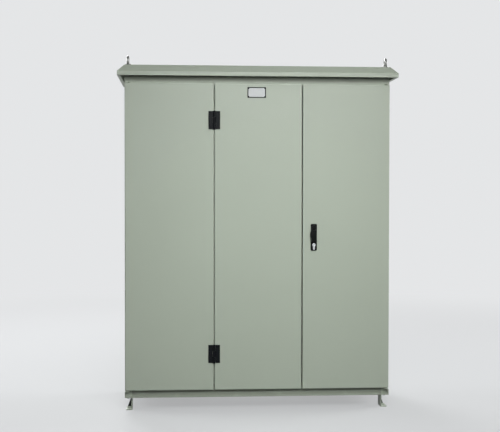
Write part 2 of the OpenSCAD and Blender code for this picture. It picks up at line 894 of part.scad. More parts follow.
// Head, neck and square spindle that the lever turns
module lock_hub() {
    head_h = 18;
    head_t = 6;
    neck_over = 3;
    y_front = y_lever_pin - head_t;
    y_neck_end = y_face + sheet_t + neck_over;
    color(black) translate([x_lock, 0, z_spindle]) difference() {
        union() {
            block([-hub_w / 2, y_front, -head_h / 2], [hub_w / 2, y_dish - slide_clear, head_h / 2]);
            bar_y(neck_r, y_dish - slide_clear, y_neck_end);
            block([-spindle_w / 2, y_neck_end, -spindle_w / 2],
                  [spindle_w / 2, y_rod + rod_t / 2, spindle_w / 2]);
        }
        translate([0, y_lever_pin, 0]) bar_x(lever_pin_r + run_clear, -hub_w, hub_w);
    }
}

lever_w = 27;
ear_r = 6.5;
lever_gap = 0.3;

// Side view of the lever's blade in (y, z) from the pin, thick in the middle and thin at its tip
module lever_side() {
    y_in = pin_off - slide_clear - lever_gap;
    tip = 4;
    polygon([[ear_r - 1, 0], [y_in, -ear_r], [y_in, -lever_len], [y_in - 0.55 * lever_t, -lever_len],
             [y_in - 0.8 * lever_t, -lever_len + tip], [y_in - lever_t, -0.55 * lever_len],
             [1 - ear_r, 0]]);
}

// Front view of the blade in (x, z) from the pin, with a swelling for the thumb on its left
module lever_front() {
    swell = 6;
    steps = 12;
    polygon(concat(
        [[lever_w / 2, 1], [-lever_w / 2, 1]],
        [for (i = [0:steps]) let (t = i / steps)
            [-lever_w / 2 - swell * pow(sin(180 * t), 2), -lever_len * t]],
        [[lever_w / 2, -lever_len]]));
}

module lock_lever() {
    slot_low = 13;
    reach = 3 * lever_t;
    color(black) translate([x_lock, y_lever_pin, z_spindle]) difference() {
        union() {
            bar_x(ear_r, -lever_w / 2, lever_w / 2);
            intersection() {
                along_x(-lever_w, lever_w) lever_side();
                along_y(-reach, reach) lever_front();
            }
        }
        block([-hub_w / 2 - slide_clear, -reach, -slot_low], [hub_w / 2 + slide_clear, reach, 2 * ear_r]);
        bar_x(lever_pin_r + run_clear, -lever_w, lever_w);
    }
}

module lever_pin() {
    color(black) translate([x_lock, y_lever_pin, z_spindle])
        bar_x(lever_pin_r, -lever_w / 2, lever_w / 2);
}

// Angle by which an involute leads its start on the base circle, at radius r
function involute(r, r_base) = let (t = sqrt(max(pow(r / r_base, 2) - 1, 0))) t * 180 / PI - atan(t);

gear_pitch = PI * gear_m;
gear_flank = 20;
gear_tooth = gear_pitch / 2 - gear_play;

// Pinion outline with stub involute teeth, one tooth on the +X axis
module pinion_outline() {
    r_base = gear_r * cos(gear_flank);
    r_root = gear_r - gear_ded;
    r_tip = gear_r + gear_add;
    half_pitch = gear_tooth / 2 / gear_r * 180 / PI;
    lead = involute(gear_r, r_base);
    steps = 5;
    radii = concat([r_root], [for (i = [0:steps]) r_base + (r_tip - r_base) * i / steps]);
    angles = [for (r = radii) half_pitch + lead - involute(max(r, r_base), r_base)];
    n = len(radii) - 1;
    polygon([for (k = [0:gear_teeth - 1]) let (a = k * 360 / gear_teeth)
        each concat(
            [for (i = [0:n]) radii[i] * [cos(a - angles[i]), sin(a - angles[i])]],
            [for (i = [n:-1:0]) radii[i] * [cos(a + angles[i]), sin(a + angles[i])]])]);
}

module lock_pinion() {
    square_w = spindle_w + hole_clear;
    color(steel) translate([x_lock, 0, z_spindle])
        along_y(y_rod - rod_t / 2, y_rod + rod_t / 2) difference() {
            pinion_outline();
            square(square_w, center = true);
        }
}

// Rack on the +X side of the pinion: a bar whose teeth straddle the pinion's tooth
module rack_outline(z0, z1) {
    first = ceil((z0 + gear_pitch) / gear_pitch);
    last = floor((z1 - gear_pitch) / gear_pitch);
    root = gear_tooth / 2 + tan(gear_flank) * gear_ded;
    tip = gear_tooth / 2 - tan(gear_flank) * gear_add;
    rect([gear_r + gear_ded, z0], [gear_r + gear_ded + rod_w, z1]);
    for (k = [first:last - 1]) translate([gear_r, (k + 0.5) * gear_pitch])
        polygon([[gear_ded, -root], [gear_ded, root], [-gear_add, tip], [-gear_add, -tip]]);
}

rack_back = 22;
rack_ahead = 44;
rod_end = 0.6;

// Rod with a toothed end beside the pinion, reaching up over it by the given length
module lock_rod(reach) {
    rod_low = gear_r + gear_ded;
    along_y(y_rod - rod_t / 2, y_rod + rod_t / 2) {
        rack_outline(-rack_back, rack_ahead);
        rect([rod_low, 0], [rod_low + rod_w, reach]);
    }
}

module upper_rod() {
    color(zinc) translate([x_lock, 0, z_spindle]) mirror([1, 0, 0])
        lock_rod(z_header - rod_end - z_spindle);
}

module lower_rod() {
    color(zinc) translate([x_lock, 0, z_spindle]) mirror([0, 0, 1])
        lock_rod(z_spindle - z_sill - rod_end);
}

// Cast housing behind the leaf that holds the pinion and guides the racks
module lock_case() {
    y0 = y_face + sheet_t;
    slot_w = case_w - 2 * case_wall;
    foot = 12;
    color(grey) translate([x_lock, 0, z_spindle]) difference() {
        union() {
            block([-case_w / 2, y_leaf, -case_h / 2], [case_w / 2, y_case, case_h / 2]);
            for (z = [-case_h / 2, case_h / 2 - foot])
                block([-case_w / 2, y0, z], [case_w / 2, y_leaf, z + foot]);
        }
        block([-slot_w / 2, y_rod - rod_t / 2 - slide_clear, -case_h],
              [slot_w / 2, y_rod + rod_t / 2 + slide_clear, case_h]);
        bar_y(spindle_w, y0 - 1, y_rod);
    }
}

// Posts behind the right leaf that the rods run in
module rod_guides() {
    wall = 3;
    guide_h = 16;
    end_in = 60;
    y0 = y_face + sheet_t;
    y_slot0 = y_rod - rod_t / 2 - slide_clear;
    y_slot1 = y_rod + rod_t / 2 + slide_clear;
    half = rod_w / 2 + slide_clear;
    upper_zs = [z_header - end_in, (z_spindle + z_header) / 2];
    lower_zs = [z_sill + end_in, (z_spindle + z_sill) / 2];
    places = concat([for (z = upper_zs) [x_lock - rod_off, 0, z]],
                    [for (z = lower_zs) [x_lock + rod_off, 0, z]]);
    color(grey) at(places) difference() {
        block([-half - wall, y0, -guide_h / 2], [half + wall, y_slot1 + wall, guide_h / 2]);
        block([-half, y_slot0, -guide_h], [half, y_slot1, guide_h]);
        block([-half, y0 + wall, -guide_h], [half, y_slot0 - wall, guide_h]);
    }
}

// Mounting plate and control gear

post_r = 8;
post_in = 30;
posts_at = [for (side = [-1:1], z = [z_plate0 + post_in, z_plate1 - post_in])
    [side * (x_plate - post_in), 0, z]];

// Posts between the back panel and the mounting plate
module plate_standoffs() {
    color(zinc) at(posts_at) bar_y(post_r, y_plate + plate_t, y_wall_end);
}

module mounting_plate() {
    fold = 12;
    color(zinc) {
        block([-x_plate, y_plate, z_plate0], [x_plate, y_plate + plate_t, z_plate1]);
        for (x = [-x_plate, x_plate - plate_t])
            block([x, y_plate, z_plate0], [x + plate_t, y_plate + fold, z_plate1]);
    }
}

// Heights of the four rows of control gear, spread evenly over the plate
row_pitch = (z_plate1 - z_plate0) / 4;
row_zs = [for (i = [0:3]) z_plate0 + (i + 0.5) * row_pitch];
duct_zs = [for (i = [0:4]) min(max(z_plate0 + i * row_pitch, z_plate0 + duct_w), z_plate1 - duct_w)];
duct_in = 15;
duct_gap = 10;
x_duct = x_plate - duct_w / 2 - duct_in;
x_row = x_duct - duct_w / 2 - duct_gap;
rail_h = 35;
transformer_in = 100;
x_transformer = x_row - transformer_in;

// Hat-shaped mounting rails
module mounting_rails() {
    hat = 25;
    t = 1.2;
    ends = [x_row, x_row, x_row, x_transformer - transformer_in];
    color(zinc) for (i = [0:3]) translate([0, 0, row_zs[i]]) along_x(-x_row, ends[i]) {
        rect([y_plate - t, -hat / 2], [y_plate, hat / 2]);
        for (s = [0, 1]) mirror([0, s]) {
            rect([y_rail, hat / 2 - t], [y_plate, hat / 2]);
            rect([y_rail, hat / 2 - t], [y_rail + t, rail_h / 2]);
        }
    }
}

// Section of a wiring duct in (across, depth): open fingers under a clipped lid
module duct_section() {
    wall = 2;
    lid = 8;
    difference() {
        rect([-duct_w / 2 + wall, 0], [duct_w / 2 - wall, duct_d - wall]);
        rect([-duct_w / 2 + 2 * wall, wall], [duct_w / 2 - 2 * wall, duct_d]);
    }
    difference() {
        rect([-duct_w / 2, duct_d - lid], [duct_w / 2, duct_d]);
        rect([-duct_w / 2 + wall, duct_d - lid - 1], [duct_w / 2 - wall, duct_d - wall]);
    }
}

module wiring_ducts() {
    slot_pitch = 60;
    slot_w = 10;
    end_gap = 5;
    color(grey) {
        for (z = duct_zs) translate([0, y_plate, z]) difference() {
            translate([-x_row, 0, 0]) rotate([90, 90, 90]) mirror([0, 1, 0])
                linear_extrude(2 * x_row) duct_section();
            for (x = [-x_row + slot_pitch / 2:slot_pitch:x_row - slot_pitch / 2])
                translate([x, -duct_d / 2, 0]) cube([slot_w, duct_d / 2, 2 * duct_w], center = true);
        }
        for (x = [-x_duct, x_duct]) translate([x, y_plate, z_plate0 + end_gap]) mirror([0, 1, 0])
            linear_extrude(z_plate1 - z_plate0 - 2 * end_gap) duct_section();
    }
}

// Main switch with a rocking toggle

switch_w = 105;
switch_h = 160;
switch_d = 85;
switch_in = 40;
x_switch = -x_row + switch_in + switch_w / 2;
z_switch = row_zs[3];
toggle_r = 14;
toggle_w = 18;
toggle_sunk = 8;
toggle_axle_r = 3;
toggle_tilt = 22;
y_toggle = y_rail - switch_d + toggle_sunk;

module main_switch() {
    step = 22;
    slot_h = 30;
    slot_over = 2;
    hole_r = 5;
    hole_in = 9;
    y_front = y_rail - switch_d;
    color(grey) translate([x_switch, 0, z_switch]) difference() {
        union() {
            block([-switch_w / 2, y_rail - 0.7 * switch_d, -switch_h / 2],
                  [switch_w / 2, y_rail, switch_h / 2]);
            block([-switch_w / 2, y_front, step - switch_h / 2],
                  [switch_w / 2, y_rail, switch_h / 2 - step]);
        }
        block([-toggle_w / 2 - slide_clear, y_front - 1, -slot_h],
              [toggle_w / 2 + slide_clear, y_toggle + toggle_r + slot_over, slot_h]);
        for (side = [-1:1], z = [hole_in - switch_h / 2, switch_h / 2 - hole_in])
            translate([side * switch_w / 3, 0, z]) bar_y(hole_r, y_front, y_rail - switch_d / 2);
        translate([0, y_toggle, 0]) bar_x(toggle_axle_r + run_clear, -switch_w / 4, switch_w / 4);
    }
}

module switch_toggle() {
    stem = 34;
    stem_w = 14;
    stem_h = 10;
    color(black) translate([x_switch, y_toggle, z_switch]) rotate([toggle_tilt, 0, 0]) {
        bar_x(toggle_r, -toggle_w / 2, toggle_w / 2);
        bar_x(toggle_axle_r, -switch_w / 4 + slide_clear, switch_w / 4 - slide_clear);
        block([-stem_w / 2, -stem, -stem_h / 2], [stem_w / 2, 0, stem_h / 2]);
    }
}

// Contactors and relays clip on the rails; each is one moulded case with stepped terminals
module rail_unit(w, h, d) {
    shoulder = 1.5;
    difference() {
        union() {
            block([-w / 2, -0.62 * d, -h / 2], [w / 2, 0, h / 2]);
            block([-w / 2 + shoulder, -d, -0.28 * h], [w / 2 - shoulder, 0, 0.28 * h]);
        }
        for (x = [-w / 4, w / 4], z = [-0.4 * h, 0.4 * h]) translate([x, 0, z]) bar_y(w / 10, -d, -0.45 * d);
    }
}

row_start = 60;
contactor_w = 46;
contactor_h = 86;
contactor_d = 88;
contactor_gap = 18;
contactor_xs = [for (i = [0:5]) -x_row + row_start + contactor_w / 2 + i * (contactor_w + contactor_gap)];
relay_w = 28;
relay_h = 78;
relay_d = 66;
relay_gap = 4;
relay_xs = [for (i = [0:11]) -x_row + row_start + relay_w / 2 + i * (relay_w + relay_gap)];

module contactors() {
    color(grey) at([for (x = contactor_xs) [x, y_rail, row_zs[2]]])
        rail_unit(contactor_w, contactor_h, contactor_d);
}

module relays() {
    color(grey) at([for (x = relay_xs) [x, y_rail, row_zs[1]]]) rail_unit(relay_w, relay_h, relay_d);
}

// Control transformer: a laminated core round two coils, on a foot plate
module transformer() {
    core_w = 120;
    core_h = 100;
    core_d = 60;
    limb = 20;
    base_t = 4;
    base_over = 15;
    coil_w = core_w / 4;
    coil_over = 14;
    color(steel) translate([x_transformer, y_plate, row_zs[3]]) {
        block([-core_w / 2 - base_over, -base_t, -core_h / 2], [core_w / 2 + base_over, 0, core_h / 2]);
        translate([0, -base_t, 0]) mirror([0, 1, 0]) {
            for (z = [-core_h / 2, core_h / 2 - limb])
                block([-core_w / 2, 0, z], [core_w / 2, core_d, z + limb]);
            for (x = [-core_w / 2, -limb / 2, core_w / 2 - limb])
                block([x, 0, -core_h / 2], [x + limb, core_d, core_h / 2]);
            for (x = [-core_w / 4, core_w / 4]) translate([x - coil_w / 2, 0, -core_h / 2 + limb])
                cube([coil_w, core_d + coil_over, core_h - 2 * limb]);
        }
    }
}

// Row of through terminals between end brackets
module terminal_strip() {
    pitch = 12;
    count = 40;
    gap = 0.3;
    h = 46;
    d = 44;
    x0 = -count * pitch / 2;
    color(grey) translate([x0, y_rail, row_zs[0]]) {
        for (i = [0:count - 1]) translate([i * pitch, 0, 0]) along_x(gap, pitch - gap)
            polygon([[0, -h / 2], [0, h / 2], [-0.6 * d, h / 2],
                     [-d, h / 4], [-d, -h / 4], [-0.6 * d, -h / 2]]);
        for (x = [-pitch, count * pitch]) block([x, -0.8 * d, -h / 2], [x + pitch, 0, h / 2]);
    }
}

// Copper bar on two blocks, drilled for the earth screws
module earth_bar() {
    bar_w = 25;
    bar_t = 5;
    len = 420;
    off = 28;
    holes = 14;
    hole_r = 3;
    drop = 70;
    block_w = 24;
    block_in = 10;
    color(copper) translate([0, y_plate, row_zs[0] - drop]) difference() {
        union() {
            block([-len / 2, -off - bar_t, -bar_w / 2], [len / 2, -off, bar_w / 2]);
            for (x = [-len / 2 + block_in, len / 2 - block_in - block_w])
                block([x, -off, -bar_w / 2], [x + block_w, 0, bar_w / 2]);
        }
        for (i = [0:holes - 1]) translate([-len / 2 + (i + 0.5) * len / holes, 0, 0])
            bar_y(hole_r, -off - 2 * bar_t, -off + 1);
    }
}

left_side();
right_side();
back_panel();
top_deck();
header();
sill();
rear_header();
rear_sill();
floor_panel();
gland_plate();
cable_glands();
roof();
roof_spacers();
front_eyes();
rear_eyes();
feet();
foot_bolts();
pivot_lugs();
back_screws();
plate_standoffs();
mounting_plate();
mounting_rails();
wiring_ducts();
main_switch();
switch_toggle();
contactors();
relays();
transformer();
terminal_strip();
earth_bar();
left_leaf();
left_stiffener();
left_seal();
left_pivot_pins();
rain_strip();
fixed_wings();
hinge_pins();
centre_leaf();
centre_stiffener();
centre_seal();
moving_wings();
nameplate();
bolt_guides();
upper_bolt();
lower_bolt();
right_leaf();
right_stiffener();
right_seal();
right_pivot_pins();
lock_dish();
lock_cylinder();
key_plug();
lock_hub();
lock_pinion();
lock_lever();
lever_pin();
lock_case();
upper_rod();
lower_rod();
rod_guides();
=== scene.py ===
# %% [markdown]
# # A control cabinet, dressed in Blender
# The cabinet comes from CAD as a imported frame: sixty named parts that already have the right
# size and the right place. This lesson gives every surface its finish, rounds the edges that a
# press brake or a mould would round, and adds the small things that CAD leaves out. Nothing
# here moves or resizes a CAD part.

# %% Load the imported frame
import json
import math

import bmesh
import bpy
from mathutils import Matrix, Vector


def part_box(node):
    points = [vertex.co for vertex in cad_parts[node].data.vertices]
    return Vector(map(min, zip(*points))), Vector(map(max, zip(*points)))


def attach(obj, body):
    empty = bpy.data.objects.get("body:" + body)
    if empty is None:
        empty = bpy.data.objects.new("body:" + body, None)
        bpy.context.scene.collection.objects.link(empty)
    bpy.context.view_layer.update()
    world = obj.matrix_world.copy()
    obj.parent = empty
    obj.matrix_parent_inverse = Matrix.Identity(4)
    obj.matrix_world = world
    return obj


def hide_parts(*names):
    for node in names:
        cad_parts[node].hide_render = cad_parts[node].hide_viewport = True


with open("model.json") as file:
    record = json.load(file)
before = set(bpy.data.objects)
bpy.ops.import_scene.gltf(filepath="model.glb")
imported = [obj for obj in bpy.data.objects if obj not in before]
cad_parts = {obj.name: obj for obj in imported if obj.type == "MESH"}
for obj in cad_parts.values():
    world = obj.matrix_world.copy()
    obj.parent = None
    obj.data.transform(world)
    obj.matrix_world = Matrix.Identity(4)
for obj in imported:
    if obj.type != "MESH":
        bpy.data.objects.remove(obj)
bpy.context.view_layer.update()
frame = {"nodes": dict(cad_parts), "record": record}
nodes = frame["nodes"]
record = frame["record"]
slot_of = {part["node"]: part["material_slot"] for part in record["subparts"]}
body_of = {node: body for body, members in record["behaviour"]["bodies"].items() for node in members}
scene = bpy.context.scene
mm = 0.001

# %% [markdown]
# ## The camera
# The photograph was taken from a little over five metres away, left of the middle and at chest
# height. Its place was worked out from the corners of the leaves, the roof and the feet. A
# lens of 72 mm on a 36 mm wide sensor gives the same perspective.

# %% Camera
camera_at = Vector((-0.384, -5.220, 1.085))
camera_yaw, camera_pitch, camera_roll = 0.0687, -0.0226, 0.0013
lens_length, sensor_width = 72, 36

camera_data = bpy.data.cameras.new("camera")
camera_data.lens = lens_length
camera_data.sensor_width = sensor_width
camera_data.sensor_fit = "HORIZONTAL"
camera = bpy.data.objects.new("camera", camera_data)
camera.location = camera_at
camera.rotation_euler = (math.pi / 2 + camera_pitch, -camera_roll, -camera_yaw)
scene.collection.objects.link(camera)
scene.camera = camera
scene.view_settings.view_transform = "Standard"
print("camera at", tuple(camera_at), "lens", lens_length)

# %% [markdown]
# ## Shader nodes in code
# Worlds, materials and node groups are all trees of nodes. By hand one adds a node, sets it and
# pulls its links. In code those are the same three moves again and again, so a few short helpers
# hold them, and the cells below read like the trees that they make. An output can go into any
# socket that would otherwise get a number, so `feed` takes both.


# %% Helpers: nodes and links
def add_node(tree, kind, **settings):
    made = tree.nodes.new(kind)
    for key, value in settings.items():
        setattr(made, key, value)
    return made


def feed(tree, socket, value):
    """Links an output to a socket, or writes a constant on it."""
    if isinstance(value, bpy.types.NodeSocket):
        tree.links.new(value, socket)
    else:
        socket.default_value = value


def math_node(tree, operation, first, second):
    made = add_node(tree, "ShaderNodeMath", operation=operation)
    feed(tree, made.inputs[0], first)
    feed(tree, made.inputs[1], second)
    return made.outputs[0]


def map_range(tree, value, low, high, new_low=0.0, new_high=1.0, blend="LINEAR"):
    made = add_node(tree, "ShaderNodeMapRange", interpolation_type=blend)
    for name, number in (("Value", value), ("From Min", low), ("From Max", high),
                         ("To Min", new_low), ("To Max", new_high)):
        feed(tree, made.inputs[name], number)
    return made.outputs["Result"]


print("node helpers: add_node, feed, math_node, map_range")


# %% Helpers: fades, mixes and what a ray sees
def fade(tree, value, start, end):
    """0 up to start, 1 from end on, and smooth between; start may be the larger."""
    return map_range(tree, value, start, end, blend="SMOOTHSTEP")


def mix_colours(tree, factor, first, second):
    made = add_node(tree, "ShaderNodeMix", data_type="RGBA")
    feed(tree, made.inputs[0], factor)
    feed(tree, made.inputs[6], first)
    feed(tree, made.inputs[7], second)
    return made.outputs[2]


def mix_shaders(tree, factor, first, second):
    made = add_node(tree, "ShaderNodeMixShader")
    feed(tree, made.inputs[0], factor)
    feed(tree, made.inputs[1], first.outputs[0])
    feed(tree, made.inputs[2], second.outputs[0])
    return made.outputs[0]


def is_seen(tree):
    """1 for rays that show the stage itself: from the camera, from a mirror and through glass."""
    path = add_node(tree, "ShaderNodeLightPath").outputs
    seen = math_node(tree, "MAXIMUM", path["Is Camera Ray"], path["Is Glossy Ray"])
    return math_node(tree, "MAXIMUM", seen, path["Is Transmission Ray"])


print("node helpers: fade, mix_colours, mix_shaders, is_seen")

# %% [markdown]
# ## The room
# The walls of a white studio send soft light back from all round. One bright background would do
# that, but a wall that looks nearly white would also light the cabinet far too much. So the world
# has two: rays that carry light find a weak fill, stronger at the horizon than overhead, which
# keeps the shadow under the roof. Rays that show the room find the pale wall itself.

# %% World
surround_colour = (0.78, 0.79, 0.8, 1)
fill_colour = (0.97, 0.99, 1.0, 1)
fill_at_horizon, fill_overhead, fill_top = 0.24, 0.08, 0.9
wall_overhead, wall_fade_from, wall_fade_to = 0.35, 0.25, 0.85

world = bpy.data.worlds.new("studio")
scene.world = world
world.use_nodes = True
sky = world.node_tree
sky.nodes.clear()
direction = add_node(sky, "ShaderNodeSeparateXYZ")
feed(sky, direction.inputs[0], add_node(sky, "ShaderNodeTexCoord").outputs["Generated"])
up = direction.outputs["Z"]
fill = add_node(sky, "ShaderNodeBackground")
fill.inputs["Color"].default_value = fill_colour
feed(sky, fill.inputs["Strength"], map_range(sky, up, 0.0, fill_top, fill_at_horizon, fill_overhead))
wall = add_node(sky, "ShaderNodeBackground")
wall.inputs["Color"].default_value = surround_colour
feed(sky, wall.inputs["Strength"], map_range(sky, up, wall_fade_from, wall_fade_to, 1.0, wall_overhead))
feed(sky, add_node(sky, "ShaderNodeOutputWorld").inputs["Surface"],
     mix_shaders(sky, is_seen(sky), fill, wall))
print("fill from", fill_at_horizon, "at the horizon to", fill_overhead, "overhead")

# %% [markdown]
# ## The floor
# The cabinet stands on a pale sweep, where floor and wall run into each other and no horizon
# shows. A curved sheet could be modelled, but it would have to turn with every view. A wide disc
# does it from all sides: near the cabinet it is a floor that takes shadows, and farther out a
# smooth fade by distance turns it into the colour of the wall. Rays that carry light find it
# dark, so it doesn't light the cabinet from below.


# %% Floor
def to_mesh(bm, name):
    """Empties a bmesh into a new mesh."""
    mesh = bpy.data.meshes.new(name)
    bm.to_mesh(mesh)
    bm.free()
    return mesh


floor_radius, floor_segments = 40.0, 96

disc = bmesh.new()
bmesh.ops.create_circle(disc, cap_ends=True, segments=floor_segments, radius=floor_radius)
floor = bpy.data.objects.new("floor", to_mesh(disc, "floor"))
scene.collection.objects.link(floor)
print("floor radius", floor_radius)

# %% Floor paint
floor_for_light, floor_for_eyes = (0.08, 0.08, 0.08, 1), (0.2, 0.205, 0.21, 1)
floor_glow, sweep_for_light = 0.5, 0.1
fade_from, fade_to = 0.9, 6.0

floor_paint = bpy.data.materials.new("pale_floor")
floor_paint.use_nodes = True
tree = floor_paint.node_tree
near = tree.nodes["Principled BSDF"]
near.inputs["Roughness"].default_value = 0.9
near.inputs["Emission Color"].default_value = surround_colour
seen = is_seen(tree)
feed(tree, near.inputs["Base Color"], mix_colours(tree, seen, floor_for_light, floor_for_eyes))
feed(tree, near.inputs["Emission Strength"], math_node(tree, "MULTIPLY", seen, floor_glow))
far = add_node(tree, "ShaderNodeEmission")
far.inputs["Color"].default_value = surround_colour
feed(tree, far.inputs["Strength"], map_range(tree, seen, 0.0, 1.0, sweep_for_light, 1.0))
distance = add_node(tree, "ShaderNodeVectorMath", operation="LENGTH")
feed(tree, distance.inputs[0], add_node(tree, "ShaderNodeTexCoord").outputs["Object"])
farness = fade(tree, distance.outputs["Value"], fade_from, fade_to)
feed(tree, tree.nodes["Material Output"].inputs["Surface"], mix_shaders(tree, farness, near, far))
floor.data.materials.append(floor_paint)
print("floor fades into the wall from", fade_from, "to", fade_to, "m")

# %% [markdown]
# ## Lamps
# A large soft key stands in front, a little above the roof, and is aimed low. That makes the
# leaves brighter at the top than at the bottom and lets the roof throw its shadow on the header.
# A narrow cool beam from higher up and farther back evens out the middle. Three fills light the
# sides and the back for the views from there. All are square area lamps, because a large face
# gives the soft shadows of a studio, and none shows in the picture.

# %% Lamps in front, behind and beside
white, warm, cool = (1.0, 1.0, 1.0), (1.0, 0.99, 0.97), (0.93, 0.99, 1.0)


def soft_lamp(name, place, target, width, power, colour, spread=180):
    data = bpy.data.lights.new(name, "AREA")
    data.shape = "SQUARE"
    data.size = width
    data.energy = power
    data.color = colour
    data.spread = math.radians(spread)
    lamp = bpy.data.objects.new(name, data)
    lamp.location = place
    lamp.visible_camera = False
    lamp.rotation_euler = (Vector(target) - Vector(place)).to_track_quat("-Z", "Y").to_euler()
    scene.collection.objects.link(lamp)


soft_lamp("key", (0.5, -2.95, 2.15), (0.1, -0.25, -2.4), width=1.8, power=58, colour=warm)
soft_lamp("front_fill", (0.1, -4.6, 2.9), (0.05, -0.25, 0.78), width=1.4, power=6.5, colour=cool, spread=40)
soft_lamp("back_fill", (-1.5, 4.5, 3.4), (0, 0.25, 1.0), width=2.4, power=240, colour=white)
soft_lamp("right_fill", (4.4, 1.0, 2.4), (0.66, 0, 0.9), width=2.0, power=140, colour=white)
soft_lamp("left_fill", (-4.4, 1.0, 2.4), (-0.66, 0, 0.9), width=2.0, power=120, colour=white)

# %% [markdown]
# ## Shared effects as node groups
# Three effects come back in many finishes, so each is one node group. `paint_skin` is sprayed
# and baked paint: a fine orange-peel ripple and a very slow drift in tone. It could be an image,
# but then it would need UVs on every sheet. All three groups make their grain from procedural
# textures on Object coordinates in metres, so it keeps its real size on every part.


# %% Helpers: groups and noise
def start_group(name, inputs):
    """A new group, the sockets that it is given, and the three sockets that it puts out."""
    group = bpy.data.node_groups.new(name, "ShaderNodeTree")
    for label, kind, value in inputs:
        socket = group.interface.new_socket(label, in_out="INPUT", socket_type=kind)
        socket.default_value = value
    for label, kind in (("Color", COLOUR), ("Roughness", FLOAT), ("Height", FLOAT)):
        group.interface.new_socket(label, in_out="OUTPUT", socket_type=kind)
    return group, add_node(group, "NodeGroupInput").outputs, add_node(group, "NodeGroupOutput").inputs


def noise(tree, vector, scale, detail, roughness=0.5):
    made = add_node(tree, "ShaderNodeTexNoise")
    for name, value in (("Vector", vector), ("Scale", scale), ("Detail", detail), ("Roughness", roughness)):
        feed(tree, made.inputs[name], value)
    return made.outputs["Fac"]


def vary_tone(tree, colour, value, share):
    """Darkens and lightens a colour by a share, as a noise goes up and down."""
    made = add_node(tree, "ShaderNodeHueSaturation")
    darkest = math_node(tree, "SUBTRACT", 1.0, share)
    lightest = math_node(tree, "ADD", 1.0, share)
    feed(tree, made.inputs["Color"], colour)
    feed(tree, made.inputs["Value"], map_range(tree, value, noise_low, noise_high, darkest, lightest))
    return made.outputs["Color"]


def vary_sheen(tree, sheen, value, step):
    """Takes a roughness up and down by a step, as a noise goes up and down."""
    return math_node(tree, "ADD", sheen, map_range(tree, value, noise_low, noise_high, -step, step))


FLOAT, COLOUR, VECTOR = "NodeSocketFloat", "NodeSocketColor", "NodeSocketVector"
noise_low, noise_high = 0.3, 0.7
print("nearly all of a noise lies between", noise_low, "and", noise_high)

# %% Group: paint_skin
drift_scale, handling_scale = 2.3, 9.0

paint_skin, given, out = start_group(
    "paint_skin",
    [("Color", COLOUR, (0.5, 0.5, 0.5, 1)), ("Drift", FLOAT, 0.03), ("Sheen", FLOAT, 0.45),
     ("Peel Scale", FLOAT, 420.0)])
where = add_node(paint_skin, "ShaderNodeTexCoord").outputs["Object"]
slow = noise(paint_skin, where, drift_scale, 3.0)
handling = noise(paint_skin, where, handling_scale, 5.0, 0.6)
feed(paint_skin, out["Color"], vary_tone(paint_skin, given["Color"], slow, given["Drift"]))
feed(paint_skin, out["Roughness"], vary_sheen(paint_skin, given["Sheen"], handling, 0.05))
feed(paint_skin, out["Height"], noise(paint_skin, where, given["Peel Scale"], 2.0, 0.45))
print("group", paint_skin.name, "with", len(paint_skin.nodes), "nodes")

# %% [markdown]
# ## Drawn metal
# Rolling, drawing and turning leave fine streaks, and zinc sets in faint clouds. Streaks are a
# noise whose coordinates are stretched: a large factor across the streak and a small one along
# it. The stretch is an input, so one group serves rods, bars, sheets and castings.

# %% Group: drawn_metal
cloud_scale = 24.0

drawn_metal, given, out = start_group(
    "drawn_metal",
    [("Color", COLOUR, (0.6, 0.6, 0.6, 1)), ("Stretch", VECTOR, (900.0, 900.0, 14.0)),
     ("Cloud", FLOAT, 0.06), ("Sheen", FLOAT, 0.35)])
where = add_node(drawn_metal, "ShaderNodeTexCoord").outputs["Object"]
stretched = add_node(drawn_metal, "ShaderNodeVectorMath", operation="MULTIPLY")
feed(drawn_metal, stretched.inputs[0], where)
feed(drawn_metal, stretched.inputs[1], given["Stretch"])
streaks = noise(drawn_metal, stretched.outputs[0], 1.0, 2.0)
clouds = noise(drawn_metal, where, cloud_scale, 4.0, 0.6)
feed(drawn_metal, out["Color"], vary_tone(drawn_metal, given["Color"], clouds, given["Cloud"]))
feed(drawn_metal, out["Roughness"], vary_sheen(drawn_metal, given["Sheen"], streaks, 0.08))
feed(drawn_metal, out["Height"], streaks)
print("group", drawn_metal.name, "with", len(drawn_metal.nodes), "nodes")

# %% [markdown]
# ## Moulded plastic and rubber
# A steel mould is eroded to a fine grain, and the plastic takes the print of it. A smooth
# Voronoi texture gives small rounded cells like that grain, where plain noise would look like
# dust. A coarser cell makes the open skin of foamed rubber.

# %% Group: moulded_skin
flow_scale = 30.0

moulded_skin, given, out = start_group(
    "moulded_skin",
    [("Color", COLOUR, (0.2, 0.2, 0.2, 1)), ("Grain Scale", FLOAT, 1500.0), ("Sheen", FLOAT, 0.5),
     ("Drift", FLOAT, 0.05)])
where = add_node(moulded_skin, "ShaderNodeTexCoord").outputs["Object"]
grain = add_node(moulded_skin, "ShaderNodeTexVoronoi", feature="SMOOTH_F1")
feed(moulded_skin, grain.inputs["Vector"], where)
feed(moulded_skin, grain.inputs["Scale"], given["Grain Scale"])
flow = noise(moulded_skin, where, flow_scale, 3.0)
feed(moulded_skin, out["Color"], vary_tone(moulded_skin, given["Color"], flow, given["Drift"]))
feed(moulded_skin, out["Roughness"], vary_sheen(moulded_skin, given["Sheen"], flow, 0.06))
feed(moulded_skin, out["Height"], grain.outputs["Distance"])
print("group", moulded_skin.name, "with", len(moulded_skin.nodes), "nodes")

# %% [markdown]
# ## Finishes
# Every slot of the record gets one material. A material is a Principled shader with one of the
# groups behind it, and a Bump node that turns the group's height into relief. The relief of
# paint is a few hundredths of a millimetre, so the bump distance is that small too. What is the
# same all over, such as metallic and specular, is set on the shader itself.


